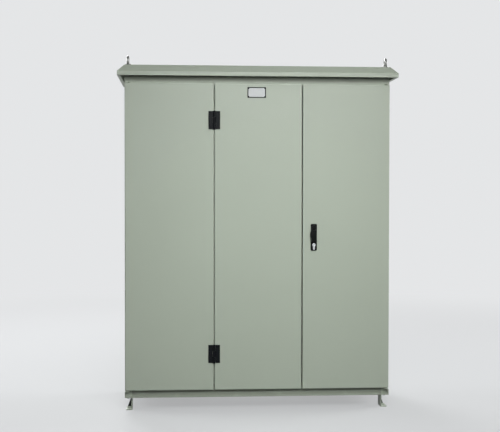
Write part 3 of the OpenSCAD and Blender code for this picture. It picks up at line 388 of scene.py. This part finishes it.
# %% Helper: a material from a group
def screen(red, green, blue):
    """A colour picked on a screen, 0 to 255, as the linear values that shaders use."""
    linear = [(c / 255 / 12.92) if c < 10.3 else ((c / 255 + 0.055) / 1.055) ** 2.4
              for c in (red, green, blue)]
    return (*linear, 1)


def finish(name, group, relief, metallic=0.0, specular=0.5, **values):
    made = bpy.data.materials.new(name)
    made.use_nodes = True
    tree = made.node_tree
    shader = tree.nodes["Principled BSDF"]
    shader.inputs["Metallic"].default_value = metallic
    shader.inputs["Specular IOR Level"].default_value = specular
    skin = add_node(tree, "ShaderNodeGroup", node_tree=group, name="skin")
    for key, value in values.items():
        skin.inputs[key.replace("_", " ").title()].default_value = value
    feed(tree, shader.inputs["Base Color"], skin.outputs["Color"])
    feed(tree, shader.inputs["Roughness"], skin.outputs["Roughness"])
    bump = add_node(tree, "ShaderNodeBump")
    bump.inputs["Strength"].default_value = 0.6
    bump.inputs["Distance"].default_value = relief
    feed(tree, bump.inputs["Height"], skin.outputs["Height"])
    feed(tree, shader.inputs["Normal"], bump.outputs["Normal"])
    return made


cabinet_coat = dict(relief=0.04 * mm, specular=0.35, color=screen(166, 174, 160), drift=0.015, sheen=0.42)
print("cabinet colour, linear:", [round(c, 3) for c in cabinet_coat["color"][:3]])

# %% [markdown]
# ## Paints and metals
# The sheets wear a satin grey-green coat, the hinges and the lock a black one with a finer ripple
# and little shine. Small steel parts are zinc plated, which is greyer and duller than bare steel,
# and the lock cylinder is chromed. The differences are colour, sheen and streaks, so each finish
# is one line of values for its group.

# %% Paints, plate and bare metal
finishes = {
    "paint": finish("cabinet_paint", paint_skin, **cabinet_coat),
    "hinge_black": finish("hinge_paint", paint_skin, 0.08 * mm, specular=0.08,
                          color=screen(16, 18, 21), drift=0.06, sheen=0.42, peel_scale=900.0),
    "lock_black": finish("lock_paint", paint_skin, 0.06 * mm, specular=0.1,
                         color=screen(9, 11, 10), drift=0.06, sheen=0.34, peel_scale=900.0),
    "zinc_plate": finish("zinc_plate", drawn_metal, 0.02 * mm, metallic=1.0,
                         color=screen(158, 161, 163), cloud=0.1, sheen=0.46),
    "eye_steel": finish("eye_zinc", drawn_metal, 0.06 * mm, metallic=1.0, color=screen(128, 129, 127),
                        stretch=(120.0, 120.0, 120.0), cloud=0.12, sheen=0.38),
    "bright_steel": finish("turned_steel", drawn_metal, 0.02 * mm, metallic=1.0,
                           color=screen(196, 197, 198), sheen=0.28),
    "core_steel": finish("varnished_core", drawn_metal, 0.08 * mm, metallic=0.4, color=screen(92, 88, 84),
                         stretch=(10.0, 1600.0, 10.0), cloud=0.1, sheen=0.4),
    "earth_copper": finish("bare_copper", drawn_metal, 0.02 * mm, metallic=1.0, color=screen(214, 148, 112),
                           stretch=(14.0, 900.0, 900.0), cloud=0.1),
    "plate_metal": finish("anodised_plate", drawn_metal, 0.01 * mm, metallic=0.6, color=screen(152, 154, 154),
                          stretch=(20.0, 900.0, 900.0), cloud=0.02, sheen=0.55),
    "lock_chrome": finish("lock_chrome", drawn_metal, 0.01 * mm, metallic=1.0,
                          color=screen(196, 198, 200), cloud=0.02, sheen=0.24),
    "case_zinc": finish("die_cast_zinc", drawn_metal, 0.08 * mm, metallic=1.0, color=screen(172, 173, 174),
                        stretch=(300.0, 300.0, 300.0), cloud=0.1, sheen=0.5),
}
print("paints and metals:", sorted(finishes))

# %% [markdown]
# ## Plastics and rubber
# The gear inside has cases of moulded plastic, from matt black to the shiny pale covers of the
# relays, and every leaf has a seal of foamed rubber. They differ in colour, grain and sheen
# alone. When the last finish is made, each CAD part gets the one that its slot names.

# %% Plastics, rubber, and a finish on every part
finishes.update({
    "gland_plastic": finish("gland_nylon", moulded_skin, 0.06 * mm, color=screen(112, 114, 118)),
    "duct_plastic": finish("duct_grey", moulded_skin, 0.04 * mm, color=screen(158, 161, 163), sheen=0.55),
    "switch_case": finish("gear_case", moulded_skin, 0.06 * mm, color=screen(66, 68, 72)),
    "black_plastic": finish("toggle_black", moulded_skin, 0.06 * mm, color=screen(34, 34, 35), sheen=0.4),
    "relay_case": finish("relay_case", moulded_skin, 0.03 * mm, color=screen(206, 206, 200), sheen=0.3),
    "terminal_plastic": finish("terminal_grey", moulded_skin, 0.05 * mm, color=screen(150, 152, 148)),
    "guide_plastic": finish("guide_nylon", moulded_skin, 0.06 * mm, color=screen(72, 73, 74)),
    "seal_rubber": finish("foamed_seal", moulded_skin, 0.3 * mm, color=screen(36, 36, 37),
                          grain_scale=700.0, sheen=0.85),
})
for name, part in nodes.items():
    part.data.materials.clear()
    part.data.materials.append(finishes[slot_of[name]])
print("finishes:", len(finishes), "on", len(nodes), "parts")

# %% [markdown]
# ## Rounded edges
# CAD edges are knife sharp, and nothing real is. Light catches on a small round and draws a thin
# bright line along it, which is what makes folded sheet look like sheet. A Bevel modifier would
# also round the rims of small holes into knots, so each part is copied into a bmesh, merged,
# and bevelled only on its long outward edges. The copy then stands for the CAD part.

# %% Helpers: pieces and their shading
crease = math.radians(40)
rounded_pieces = {}


def link_piece(bm, name, slot, body, stands_for=()):
    """Turns a bmesh into a piece that rides a body and wears a slot's finish."""
    piece = bpy.data.objects.new(name, to_mesh(bm, name))
    piece.data.materials.append(finishes[slot])
    scene.collection.objects.link(piece)
    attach(piece, body)
    if stands_for:
        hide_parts(*stands_for)
    return piece


def shade_narrow_faces(bm, narrow=3 * mm):
    """Smooths the facets of rounds and bores; wide flat faces stay flat and creases stay sharp."""
    for face in bm.faces:
        longest = max(edge.calc_length() for edge in face.edges)
        face.smooth = face.calc_area() / longest < narrow
    for edge in bm.edges:
        edge.smooth = len(edge.link_faces) == 2 and edge.calc_face_angle() < crease


print("piece helpers: link_piece, shade_narrow_faces")


# %% Helpers: rounded copies
def is_outward(edge):
    return len(edge.link_faces) == 2 and edge.is_convex and edge.calc_face_angle() > crease


def round_edges(bm, width, segments, test=lambda edge: True):
    sharp = [edge for edge in bm.edges if is_outward(edge) and test(edge)]
    if sharp:
        bmesh.ops.bevel(bm, geom=sharp, offset=width, offset_type="OFFSET", segments=segments, profile=0.5,
                        affect="EDGES", clamp_overlap=True, material=-1)
        bmesh.ops.dissolve_degenerate(bm, dist=0.002 * mm, edges=bm.edges)


def rounded(node, width, segments=2, rims=False, fold=None):
    """Puts a rounded copy in a CAD part's place.

    Edges shorter than four widths stay sharp, unless rims asks for them too. fold gives the width
    and the test of a first pass over the wider folds of a sheet.
    """
    bm = bmesh.new()
    bm.from_mesh(nodes[node].data)
    bmesh.ops.remove_doubles(bm, verts=bm.verts, dist=0.01 * mm)
    bmesh.ops.dissolve_limit(bm, angle_limit=math.radians(0.5), verts=bm.verts, edges=bm.edges)
    if fold:
        fold_width, fold_test = fold
        round_edges(bm, fold_width, 4, fold_test)
    shortest = 0 if rims else 4 * width
    round_edges(bm, width, segments, lambda edge: edge.calc_length() > shortest)
    shade_narrow_faces(bm)
    rounded_pieces[node] = link_piece(bm, node + "_rounded", slot_of[node], body_of[node], [node])


print("rounding helpers: is_outward, round_edges, rounded")

# %% [markdown]
# ## Leaves, walls and roof
# A leaf is a tray: its four front edges are folds with the radius of the press tool, and the rest
# are cut edges with just the burr taken off. So a leaf gets two passes, a wide round on its front
# and a small one elsewhere. The folds could be rounded in CAD as well, but a round this small only
# changes how light runs along the edge, so it is made here with the rest of the looks.

# %% Sheet parts
fold_round, cut_round, roof_round, foot_round = 2.2 * mm, 0.6 * mm, 0.8 * mm, 1.2 * mm
shortest_fold = 200 * mm
leaf_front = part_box("left_leaf")[0].y


def on_leaf_front(edge):
    in_plane = all(abs(vert.co.y - leaf_front) < 0.1 * mm for vert in edge.verts)
    return in_plane and edge.calc_length() > shortest_fold


for leaf in ("left_leaf", "centre_leaf", "right_leaf"):
    rounded(leaf, cut_round, fold=(fold_round, on_leaf_front))
for sheet in ("left_side", "right_side", "back_panel", "header", "sill", "rear_header", "rear_sill",
              "top_deck", "floor_panel", "gland_plate", "rain_strip", "left_stiffener", "centre_stiffener",
              "right_stiffener"):
    rounded(sheet, cut_round)
rounded("roof", roof_round)
rounded("feet", foot_round)
print("rounded so far:", len(rounded_pieces))

# %% [markdown]
# ## Painted shade in the feet and on the sill
# Two places are painted darker than the rest. Each foot is an angle with a gusset at its inner end,
# and the pocket between them is painted dark as shade. The sill under the leaves gets dust and
# painted shade: darker towards its top, where the leaves shade it, and broken into patches. Both
# parts get a paint of their own: a mask from Object coordinates picks the place and mixes the darker
# colour in. The mask for the feet looks at the size of X and Y alone, so it serves all four.


# %% Helper: paint with a second colour under a mask
def stained_or_shaded_paint(name, stain_or_shade, strength, mask):
    """The cabinet's paint with a darker colour under a mask, used for painted shade in the feet and for dust
    with painted shade on the sill; mask(tree, x, y, z) gives its sockets, which are multiplied.
    """
    made = finish(name, paint_skin, **cabinet_coat)
    tree = made.node_tree
    spot = add_node(tree, "ShaderNodeSeparateXYZ")
    feed(tree, spot.inputs[0], add_node(tree, "ShaderNodeTexCoord").outputs["Object"])
    amount = strength
    for part in mask(tree, *(spot.outputs[axis] for axis in "XYZ")):
        amount = math_node(tree, "MULTIPLY", amount, part)
    feed(tree, tree.nodes["Principled BSDF"].inputs["Base Color"],
         mix_colours(tree, amount, tree.nodes["skin"].outputs["Color"], stain_or_shade))
    return made


print("paint helper: stained_or_shaded_paint")

# %% Painted shade in the feet, dust and painted shade on the sill
foot_steel, web_in = 5 * mm, 30.5 * mm
foot_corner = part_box("feet")[1]
web_face = foot_corner.x - web_in
pocket_top = foot_corner.z - foot_steel
# A dark colour painted as shade in the pocket of each foot, and a brownish one for dust with painted shade on
# the sill.
painted_pocket_shade, dust_and_shade = screen(34, 40, 38), screen(74, 72, 60)
mark_share_at_bottom, dust_patch_scale, dust_and_shade_strength = 0.55, 14.0, 0.5


# Mask of the painted shade: the pocket between web, flange and gusset, darker farther in from the foot's end.
def foot_pocket_shade(tree, x, y, z):
    yield fade(tree, math_node(tree, "ABSOLUTE", x, 0), web_face - 1 * mm, web_face + 1 * mm)
    yield fade(tree, math_node(tree, "ABSOLUTE", y, 0), foot_corner.y - 6 * mm, foot_corner.y - 34 * mm)
    yield fade(tree, z, foot_steel, foot_steel + 4 * mm)
    yield fade(tree, z, pocket_top + 2 * mm, pocket_top - 1 * mm)


# Mask of dust with painted shade on the sill: darker towards its top, under the leaves, and broken into
# patches by a noise.
def dust_and_shade_under_leaves(tree, x, y, z):
    low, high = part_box("sill")
    where = add_node(tree, "ShaderNodeTexCoord").outputs["Object"]
    yield map_range(tree, z, low.z, high.z, mark_share_at_bottom, 1.0)
    yield fade(tree, noise(tree, where, dust_patch_scale, 4.0), 0.0, 0.5)


# The feet wear painted shade, and the sill wears dust with painted shade.
feet_shade_paint = stained_or_shaded_paint("feet_shade_paint", painted_pocket_shade, 1.0, foot_pocket_shade)
sill_paint = stained_or_shaded_paint("sill_paint", dust_and_shade, dust_and_shade_strength, dust_and_shade_under_leaves)
rounded_pieces["feet"].data.materials[0] = feet_shade_paint
rounded_pieces["sill"].data.materials[0] = sill_paint
print("undercoat in the feet and dust on the sill")

# %% [markdown]
# ## Hinges, eyes and the lock
# The hinge wings and the lock are cast and then coated, so their edges are full and soft: three
# segments to a round show as a smooth highlight. The nameplate and the pivot lugs go with them.
# Eyes, pins, bolts, spacers, glands and screws are round, and their rims and ends are made of the
# short edges that the sheets leave sharp, so here these are rounded too. Each width is about what
# a maker breaks such an edge by.

# %% Cast parts and round parts
cast_rounds = {
    "fixed_wings": 0.8, "moving_wings": 0.8, "lock_dish": 1.0, "lock_lever": 1.6, "lock_hub": 1.0,
    "nameplate": 0.3, "lock_case": 1.5, "pivot_lugs": 0.6,
}
round_part_rounds = {
    "front_eyes": 0.8, "rear_eyes": 0.8, "hinge_pins": 0.5, "lock_cylinder": 0.4, "key_plug": 0.3,
    "back_screws": 0.2, "foot_bolts": 0.4, "cable_glands": 0.6, "roof_spacers": 0.5,
    "plate_standoffs": 0.5, "left_pivot_pins": 0.3, "right_pivot_pins": 0.3, "lever_pin": 0.2,
}
for node, width in cast_rounds.items():
    rounded(node, width * mm, segments=3)
for node, width in round_part_rounds.items():
    rounded(node, width * mm, rims=True)
print("rounded so far:", len(rounded_pieces))

# %% [markdown]
# ## Edges inside
# The cases of the gear are moulded, and the plate, the bar and the ducts are sheared or extruded.
# Rods and bolts have their ends broken, so that they find their holes. A seal is a strip of foam
# with edges as soft as itself, so its round is the widest. All it takes is a width for each part.

# %% Soft edges on the gear, the rods and the seals
case_rounds = {
    "main_switch": 1.5, "contactors": 1.0, "relays": 0.8, "transformer": 0.6, "switch_toggle": 1.2,
    "bolt_guides": 0.8, "rod_guides": 0.8, "earth_bar": 0.4, "terminal_strip": 0.4,
    "wiring_ducts": 0.4, "mounting_plate": 0.6,
}
rod_round, rail_round, seal_round = 0.5 * mm, 0.3 * mm, 2.0 * mm
for node, width in case_rounds.items():
    rounded(node, width * mm)
for node in ("upper_bolt", "lower_bolt", "upper_rod", "lower_rod"):
    rounded(node, rod_round, rims=True)
rounded("mounting_rails", rail_round)
for node in ("left_seal", "centre_seal", "right_seal"):
    rounded(node, seal_round, segments=3)
print("rounded so far:", len(rounded_pieces))

# %% [markdown]
# ## Control gear
# CAD gives each device as a plain case of the right size. On the real ones a screw sits in every
# terminal, and the front carries a frame or a marking field. The screws are all alike, so one
# slotted head is made from a disc and two halves of a second disc, and stamped wherever a
# terminal needs it. A cut with a Boolean modifier would give the same slot with a rougher mesh.

# %% Helpers: blocks, discs and frames
toward_front = Matrix.Rotation(math.radians(90), 4, "X")


def add_block(bm, low, high):
    low, high = Vector(low), Vector(high)
    place = Matrix.Translation((low + high) / 2) @ Matrix.Diagonal((*(high - low), 1))
    bmesh.ops.create_cube(bm, size=1, matrix=place)


def raise_block(bm, mid, size):
    """A block on a front face; size is its half width, bottom, top and height in millimetres."""
    half_w, bottom, top, height = (number * mm for number in size)
    add_block(bm, mid + Vector((-half_w, -height, bottom)), mid + Vector((half_w, 0, top)))


def add_disc(bm, radius, bottom, top, place=Matrix(), segments=20):
    """A disc along the Z axis of its place."""
    lift = Matrix.Translation((0, 0, (bottom + top) / 2))
    bmesh.ops.create_cone(bm, cap_ends=True, segments=segments, radius1=radius, radius2=radius,
                          depth=top - bottom, matrix=place @ lift)


def open_up(bm, width):
    """Turns a block into a frame: takes the middle out from front to back and walls the opening."""
    faces = [face for face in bm.faces if abs(face.normal.y) > 0.9]
    bmesh.ops.inset_individual(bm, faces=faces, thickness=width, use_even_offset=True)
    rims = {edge for face in faces for edge in face.edges}
    bmesh.ops.delete(bm, geom=faces, context="FACES_ONLY")
    bmesh.ops.bridge_loops(bm, edges=list(rims))
    bmesh.ops.recalc_face_normals(bm, faces=bm.faces)


print("shape helpers: add_block, raise_block, add_disc, open_up")


# %% Helpers: slotted screws and where they go
def slotted_head(radius, height, slot):
    """A screw head: a disc with two half discs on it, a slot apart."""
    head = bmesh.new()
    add_disc(head, radius, 0, height / 2)
    for side in (-1, 1):
        half = bmesh.new()
        add_disc(half, radius, height / 2, height)
        cut = bmesh.ops.bisect_plane(half, geom=half.verts[:] + half.edges[:] + half.faces[:],
                                     plane_co=(side * slot / 2, 0, 0), plane_no=(side, 0, 0),
                                     clear_inner=True)
        open_edges = [item for item in cut["geom_cut"] if isinstance(item, bmesh.types.BMEdge)]
        bmesh.ops.edgeloop_fill(half, edges=open_edges)
        head.from_mesh(to_mesh(half, "half_head"))
    return to_mesh(head, "slotted_head")


def stamp(name, mesh, places, slot, body="cabinet"):
    """One piece with a copy of the mesh at every place."""
    bm = bmesh.new()
    for place in places:
        first = len(bm.verts)
        bm.from_mesh(mesh)
        bm.verts.ensure_lookup_table()
        bmesh.ops.transform(bm, matrix=place, verts=bm.verts[first:])
    bmesh.ops.recalc_face_normals(bm, faces=bm.faces)
    shade_narrow_faces(bm)
    link_piece(bm, name, slot, body)


def front_places(points):
    return [Matrix.Translation(point) @ toward_front for point in points]


def face_middle(node):
    """The middle of a part's box, on the plane of its front."""
    low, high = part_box(node)
    return Vector(((low.x + high.x) / 2, low.y, (low.z + high.z) / 2))


print("screw helpers: slotted_head, stamp, front_places, face_middle")

# %% [markdown]
# ## Contactors and relays
# Both clip on a rail side by side, and each has two terminals above and two below, set back from
# its front on a step. CAD makes a row as one part, so the middle of every device is worked out
# from the row's box. The relays are narrower, and their screws are the same ones scaled down.

# %% Terminal screws of contactors and relays
contactor_count, contactor_w = 6, 46 * mm
relay_count, relay_w = 12, 28 * mm
back_share, rise_share = 0.48, 0.4


def rail_units(node, count, case_w):
    """Middle points of the devices in a row, on the plane of their front faces."""
    low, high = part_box(node)
    pitch = (high.x - low.x - case_w) / (count - 1)
    return [Vector((low.x + case_w / 2 + i * pitch, low.y, (low.z + high.z) / 2)) for i in range(count)]


terminal_head = slotted_head(radius=3.4 * mm, height=4 * mm, slot=0.9 * mm)
contactor_mids = rail_units("contactors", contactor_count, contactor_w)
relay_mids = rail_units("relays", relay_count, relay_w)
for node, mids, case_w in (("contactors", contactor_mids, contactor_w), ("relays", relay_mids, relay_w)):
    low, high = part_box(node)
    back, rise = back_share * (high.y - low.y), rise_share * (high.z - low.z)
    spots = [mid + Vector((side * case_w / 4, back, end * rise))
             for mid in mids for side in (-1, 1) for end in (-1, 1)]
    smaller = Matrix.Scale(case_w / contactor_w, 4)
    stamp(node + "_screws", terminal_head, [place @ smaller for place in front_places(spots)], "zinc_plate")
    print(node, len(spots), "screws")

# %% [markdown]
# ## Their fronts
# A contactor shows a carrier that can be pushed in by hand, with a button on it and a marking
# field above. A relay has a marking field and a round test button. All are thin blocks and discs
# on the front face, gathered by finish, so three pieces hold the fronts of all the devices.

# %% Carriers, buttons and marking fields
carrier_size = (15, -11, 11, 1.2)
push_button_size = (5, -7, 7, 2.4)
contactor_field_size = (15, 14, 21, 0.6)
relay_field_size = (9, 6, 17, 0.6)
test_button_r, test_button_h, test_button_drop = 3.2 * mm, 1.6 * mm, 8 * mm
front_round = 0.2 * mm

carriers, buttons, fields = bmesh.new(), bmesh.new(), bmesh.new()
for mid in contactor_mids:
    raise_block(carriers, mid, carrier_size)
    raise_block(buttons, mid, push_button_size)
    raise_block(fields, mid, contactor_field_size)
for mid in relay_mids:
    raise_block(fields, mid, relay_field_size)
    below = Matrix.Translation(mid - Vector((0, 0, test_button_drop)))
    add_disc(buttons, test_button_r, 0, test_button_h, below @ toward_front)
for name, bm, slot in (("contactor_carriers", carriers, "guide_plastic"),
                       ("device_buttons", buttons, "black_plastic"),
                       ("marking_fields", fields, "terminal_plastic")):
    round_edges(bm, front_round, 2)
    shade_narrow_faces(bm)
    link_piece(bm, name, slot, "cabinet")
print("fronts of", len(contactor_mids), "contactors and", len(relay_mids), "relays")

# %% [markdown]
# ## Main switch
# The switch breaks three poles, so it has three terminals above and three below, and its toggle
# looks out through a raised frame. The frame is a block whose front and back are inset, taken out
# and bridged, which leaves a closed ring with straight walls.

# %% Screws and frame of the main switch
pole_pitch, pole_back, pole_rise = 35 * mm, 34 * mm, 71 * mm
switch_frame_size, switch_frame_w = (24, -44, 44, 1.5), 10 * mm

switch_mid = face_middle("main_switch")
switch_head = slotted_head(radius=4.4 * mm, height=5 * mm, slot=1.2 * mm)
spots = [switch_mid + Vector((side * pole_pitch, pole_back, end * pole_rise))
         for side in (-1, 0, 1) for end in (-1, 1)]
stamp("switch_screws", switch_head, front_places(spots), "zinc_plate")

switch_frame = bmesh.new()
raise_block(switch_frame, switch_mid, switch_frame_size)
open_up(switch_frame, switch_frame_w)
link_piece(switch_frame, "switch_frame", "guide_plastic", "cabinet")
print("main switch:", len(spots), "screws and a frame")

# %% [markdown]
# ## Control transformer
# Its core is a stack of steel sheets held by four bolts, and two coils stand out of the front,
# wrapped in pale paper. A nut is a disc of six sides with the bolt's end on it. The wrap is a block
# a little larger than the coil, with wide rounds where paper bends.

# %% Nuts and coil wraps
coil_over, coil_x, coil_half_w, coil_half_h = 14 * mm, 30 * mm, 15 * mm, 24 * mm
paper, paper_bend = 0.3 * mm, 2.5 * mm
nut_r, nut_h, bolt_r, bolt_h = 6 * mm, 4 * mm, 3 * mm, 6 * mm
bolt_x, bolt_z = 50 * mm, 40 * mm

core_mid = face_middle("transformer") + Vector((0, coil_over, 0))
nut = bmesh.new()
add_disc(nut, nut_r, 0, nut_h, segments=6)
add_disc(nut, bolt_r, nut_h, bolt_h)
spots = [core_mid + Vector((side * bolt_x, 0, end * bolt_z)) for side in (-1, 1) for end in (-1, 1)]
stamp("core_nuts", to_mesh(nut, "core_nut"), front_places(spots), "zinc_plate")

wraps = bmesh.new()
for side in (-1, 1):
    coil_mid = core_mid + Vector((side * coil_x, 0, 0))
    half_w = coil_half_w + paper
    add_block(wraps, coil_mid - Vector((half_w, coil_over + paper, coil_half_h)),
              coil_mid + Vector((half_w, 0, coil_half_h)))
round_edges(wraps, paper_bend, 3)
shade_narrow_faces(wraps)
link_piece(wraps, "coil_wraps", "relay_case", "cabinet")
print("transformer:", len(spots), "nuts and two coil wraps")

# %% [markdown]
# ## Terminals and earth bar
# Forty through terminals stand between two end brackets. Each has a sloping shoulder above and
# below with a screw in it, and a small pale marker on its crest. A screw is turned to face the
# front and then tilted to its slope. The earth bar below is copper, with a screw for every wire.

# %% Terminal screws, markers and earth screws
ways, brackets, shoulder = 40, 2, math.radians(57)
shoulder_back, shoulder_rise = 8.8 * mm, 17.25 * mm
marker_size = (4.5, -3.5, 3.5, 0.5)
earth_ways = 14

low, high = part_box("terminal_strip")
pitch = (high.x - low.x) / (ways + brackets)
strip_head = slotted_head(radius=2.6 * mm, height=0.9 * mm, slot=0.7 * mm)
places, markers = [], bmesh.new()
for i in range(ways):
    mid = face_middle("terminal_strip") + Vector(((i - (ways - 1) / 2) * pitch, 0, 0))
    for end in (-1, 1):
        spot = Matrix.Translation(mid + Vector((0, shoulder_back, end * shoulder_rise)))
        places.append(spot @ Matrix.Rotation(-end * shoulder, 4, "X") @ toward_front)
    raise_block(markers, mid, marker_size)
stamp("terminal_screws", strip_head, places, "zinc_plate")
link_piece(markers, "terminal_markers", "relay_case", "cabinet")

low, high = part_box("earth_bar")
step = (high.x - low.x) / earth_ways
earth_head = slotted_head(radius=5 * mm, height=3 * mm, slot=1.2 * mm)
spots = [face_middle("earth_bar") + Vector(((i - (earth_ways - 1) / 2) * step, 0, 0))
         for i in range(earth_ways)]
stamp("earth_screws", earth_head, front_places(spots), "zinc_plate")
print("terminal screws:", len(places), "earth screws:", len(spots))

# %% [markdown]
# ## Nameplate
# The plate on the middle leaf is an anodised blank with a dark printed border and a rivet in each
# corner. The border is a thin frame that lies over the plate's edge: a block with rounded corners,
# whose front and back are inset and whose middle is taken out. A printed line could be a texture,
# but a frame needs no UVs and stays crisp close up. The field stays bare.

# %% Border and rivets
border_w, border_corner, border_skin = 4.5 * mm, 3 * mm, 0.15 * mm
rivet_r, rivet_flatness, rivet_in, rivet_sunk = 3.0 * mm, 0.5, 6 * mm, 0.4 * mm

low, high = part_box("nameplate")
border = bmesh.new()
add_block(border, low - Vector((border_skin, border_skin, border_skin)),
          high + Vector((border_skin, 0, border_skin)))
corners = [edge for edge in border.edges if abs(edge.verts[0].co.y - edge.verts[1].co.y) > border_skin]
bmesh.ops.bevel(border, geom=corners, offset=border_corner, offset_type="OFFSET", segments=5, profile=0.5,
                affect="EDGES", material=-1)
open_up(border, border_w)
link_piece(border, "nameplate_border", "hinge_black", "centre_leaf")

rivet = bmesh.new()
bmesh.ops.create_uvsphere(rivet, u_segments=16, v_segments=8, radius=rivet_r)
bmesh.ops.transform(rivet, matrix=Matrix.Diagonal((1, 1, rivet_flatness, 1)), verts=rivet.verts)
spots = [Vector((x, low.y + rivet_sunk, z)) for x in (low.x + rivet_in, high.x - rivet_in)
         for z in (low.z + rivet_in, high.z - rivet_in)]
stamp("nameplate_rivets", to_mesh(rivet, "rivet"), front_places(spots), "hinge_black", "centre_leaf")
print("nameplate border and", len(spots), "rivets")
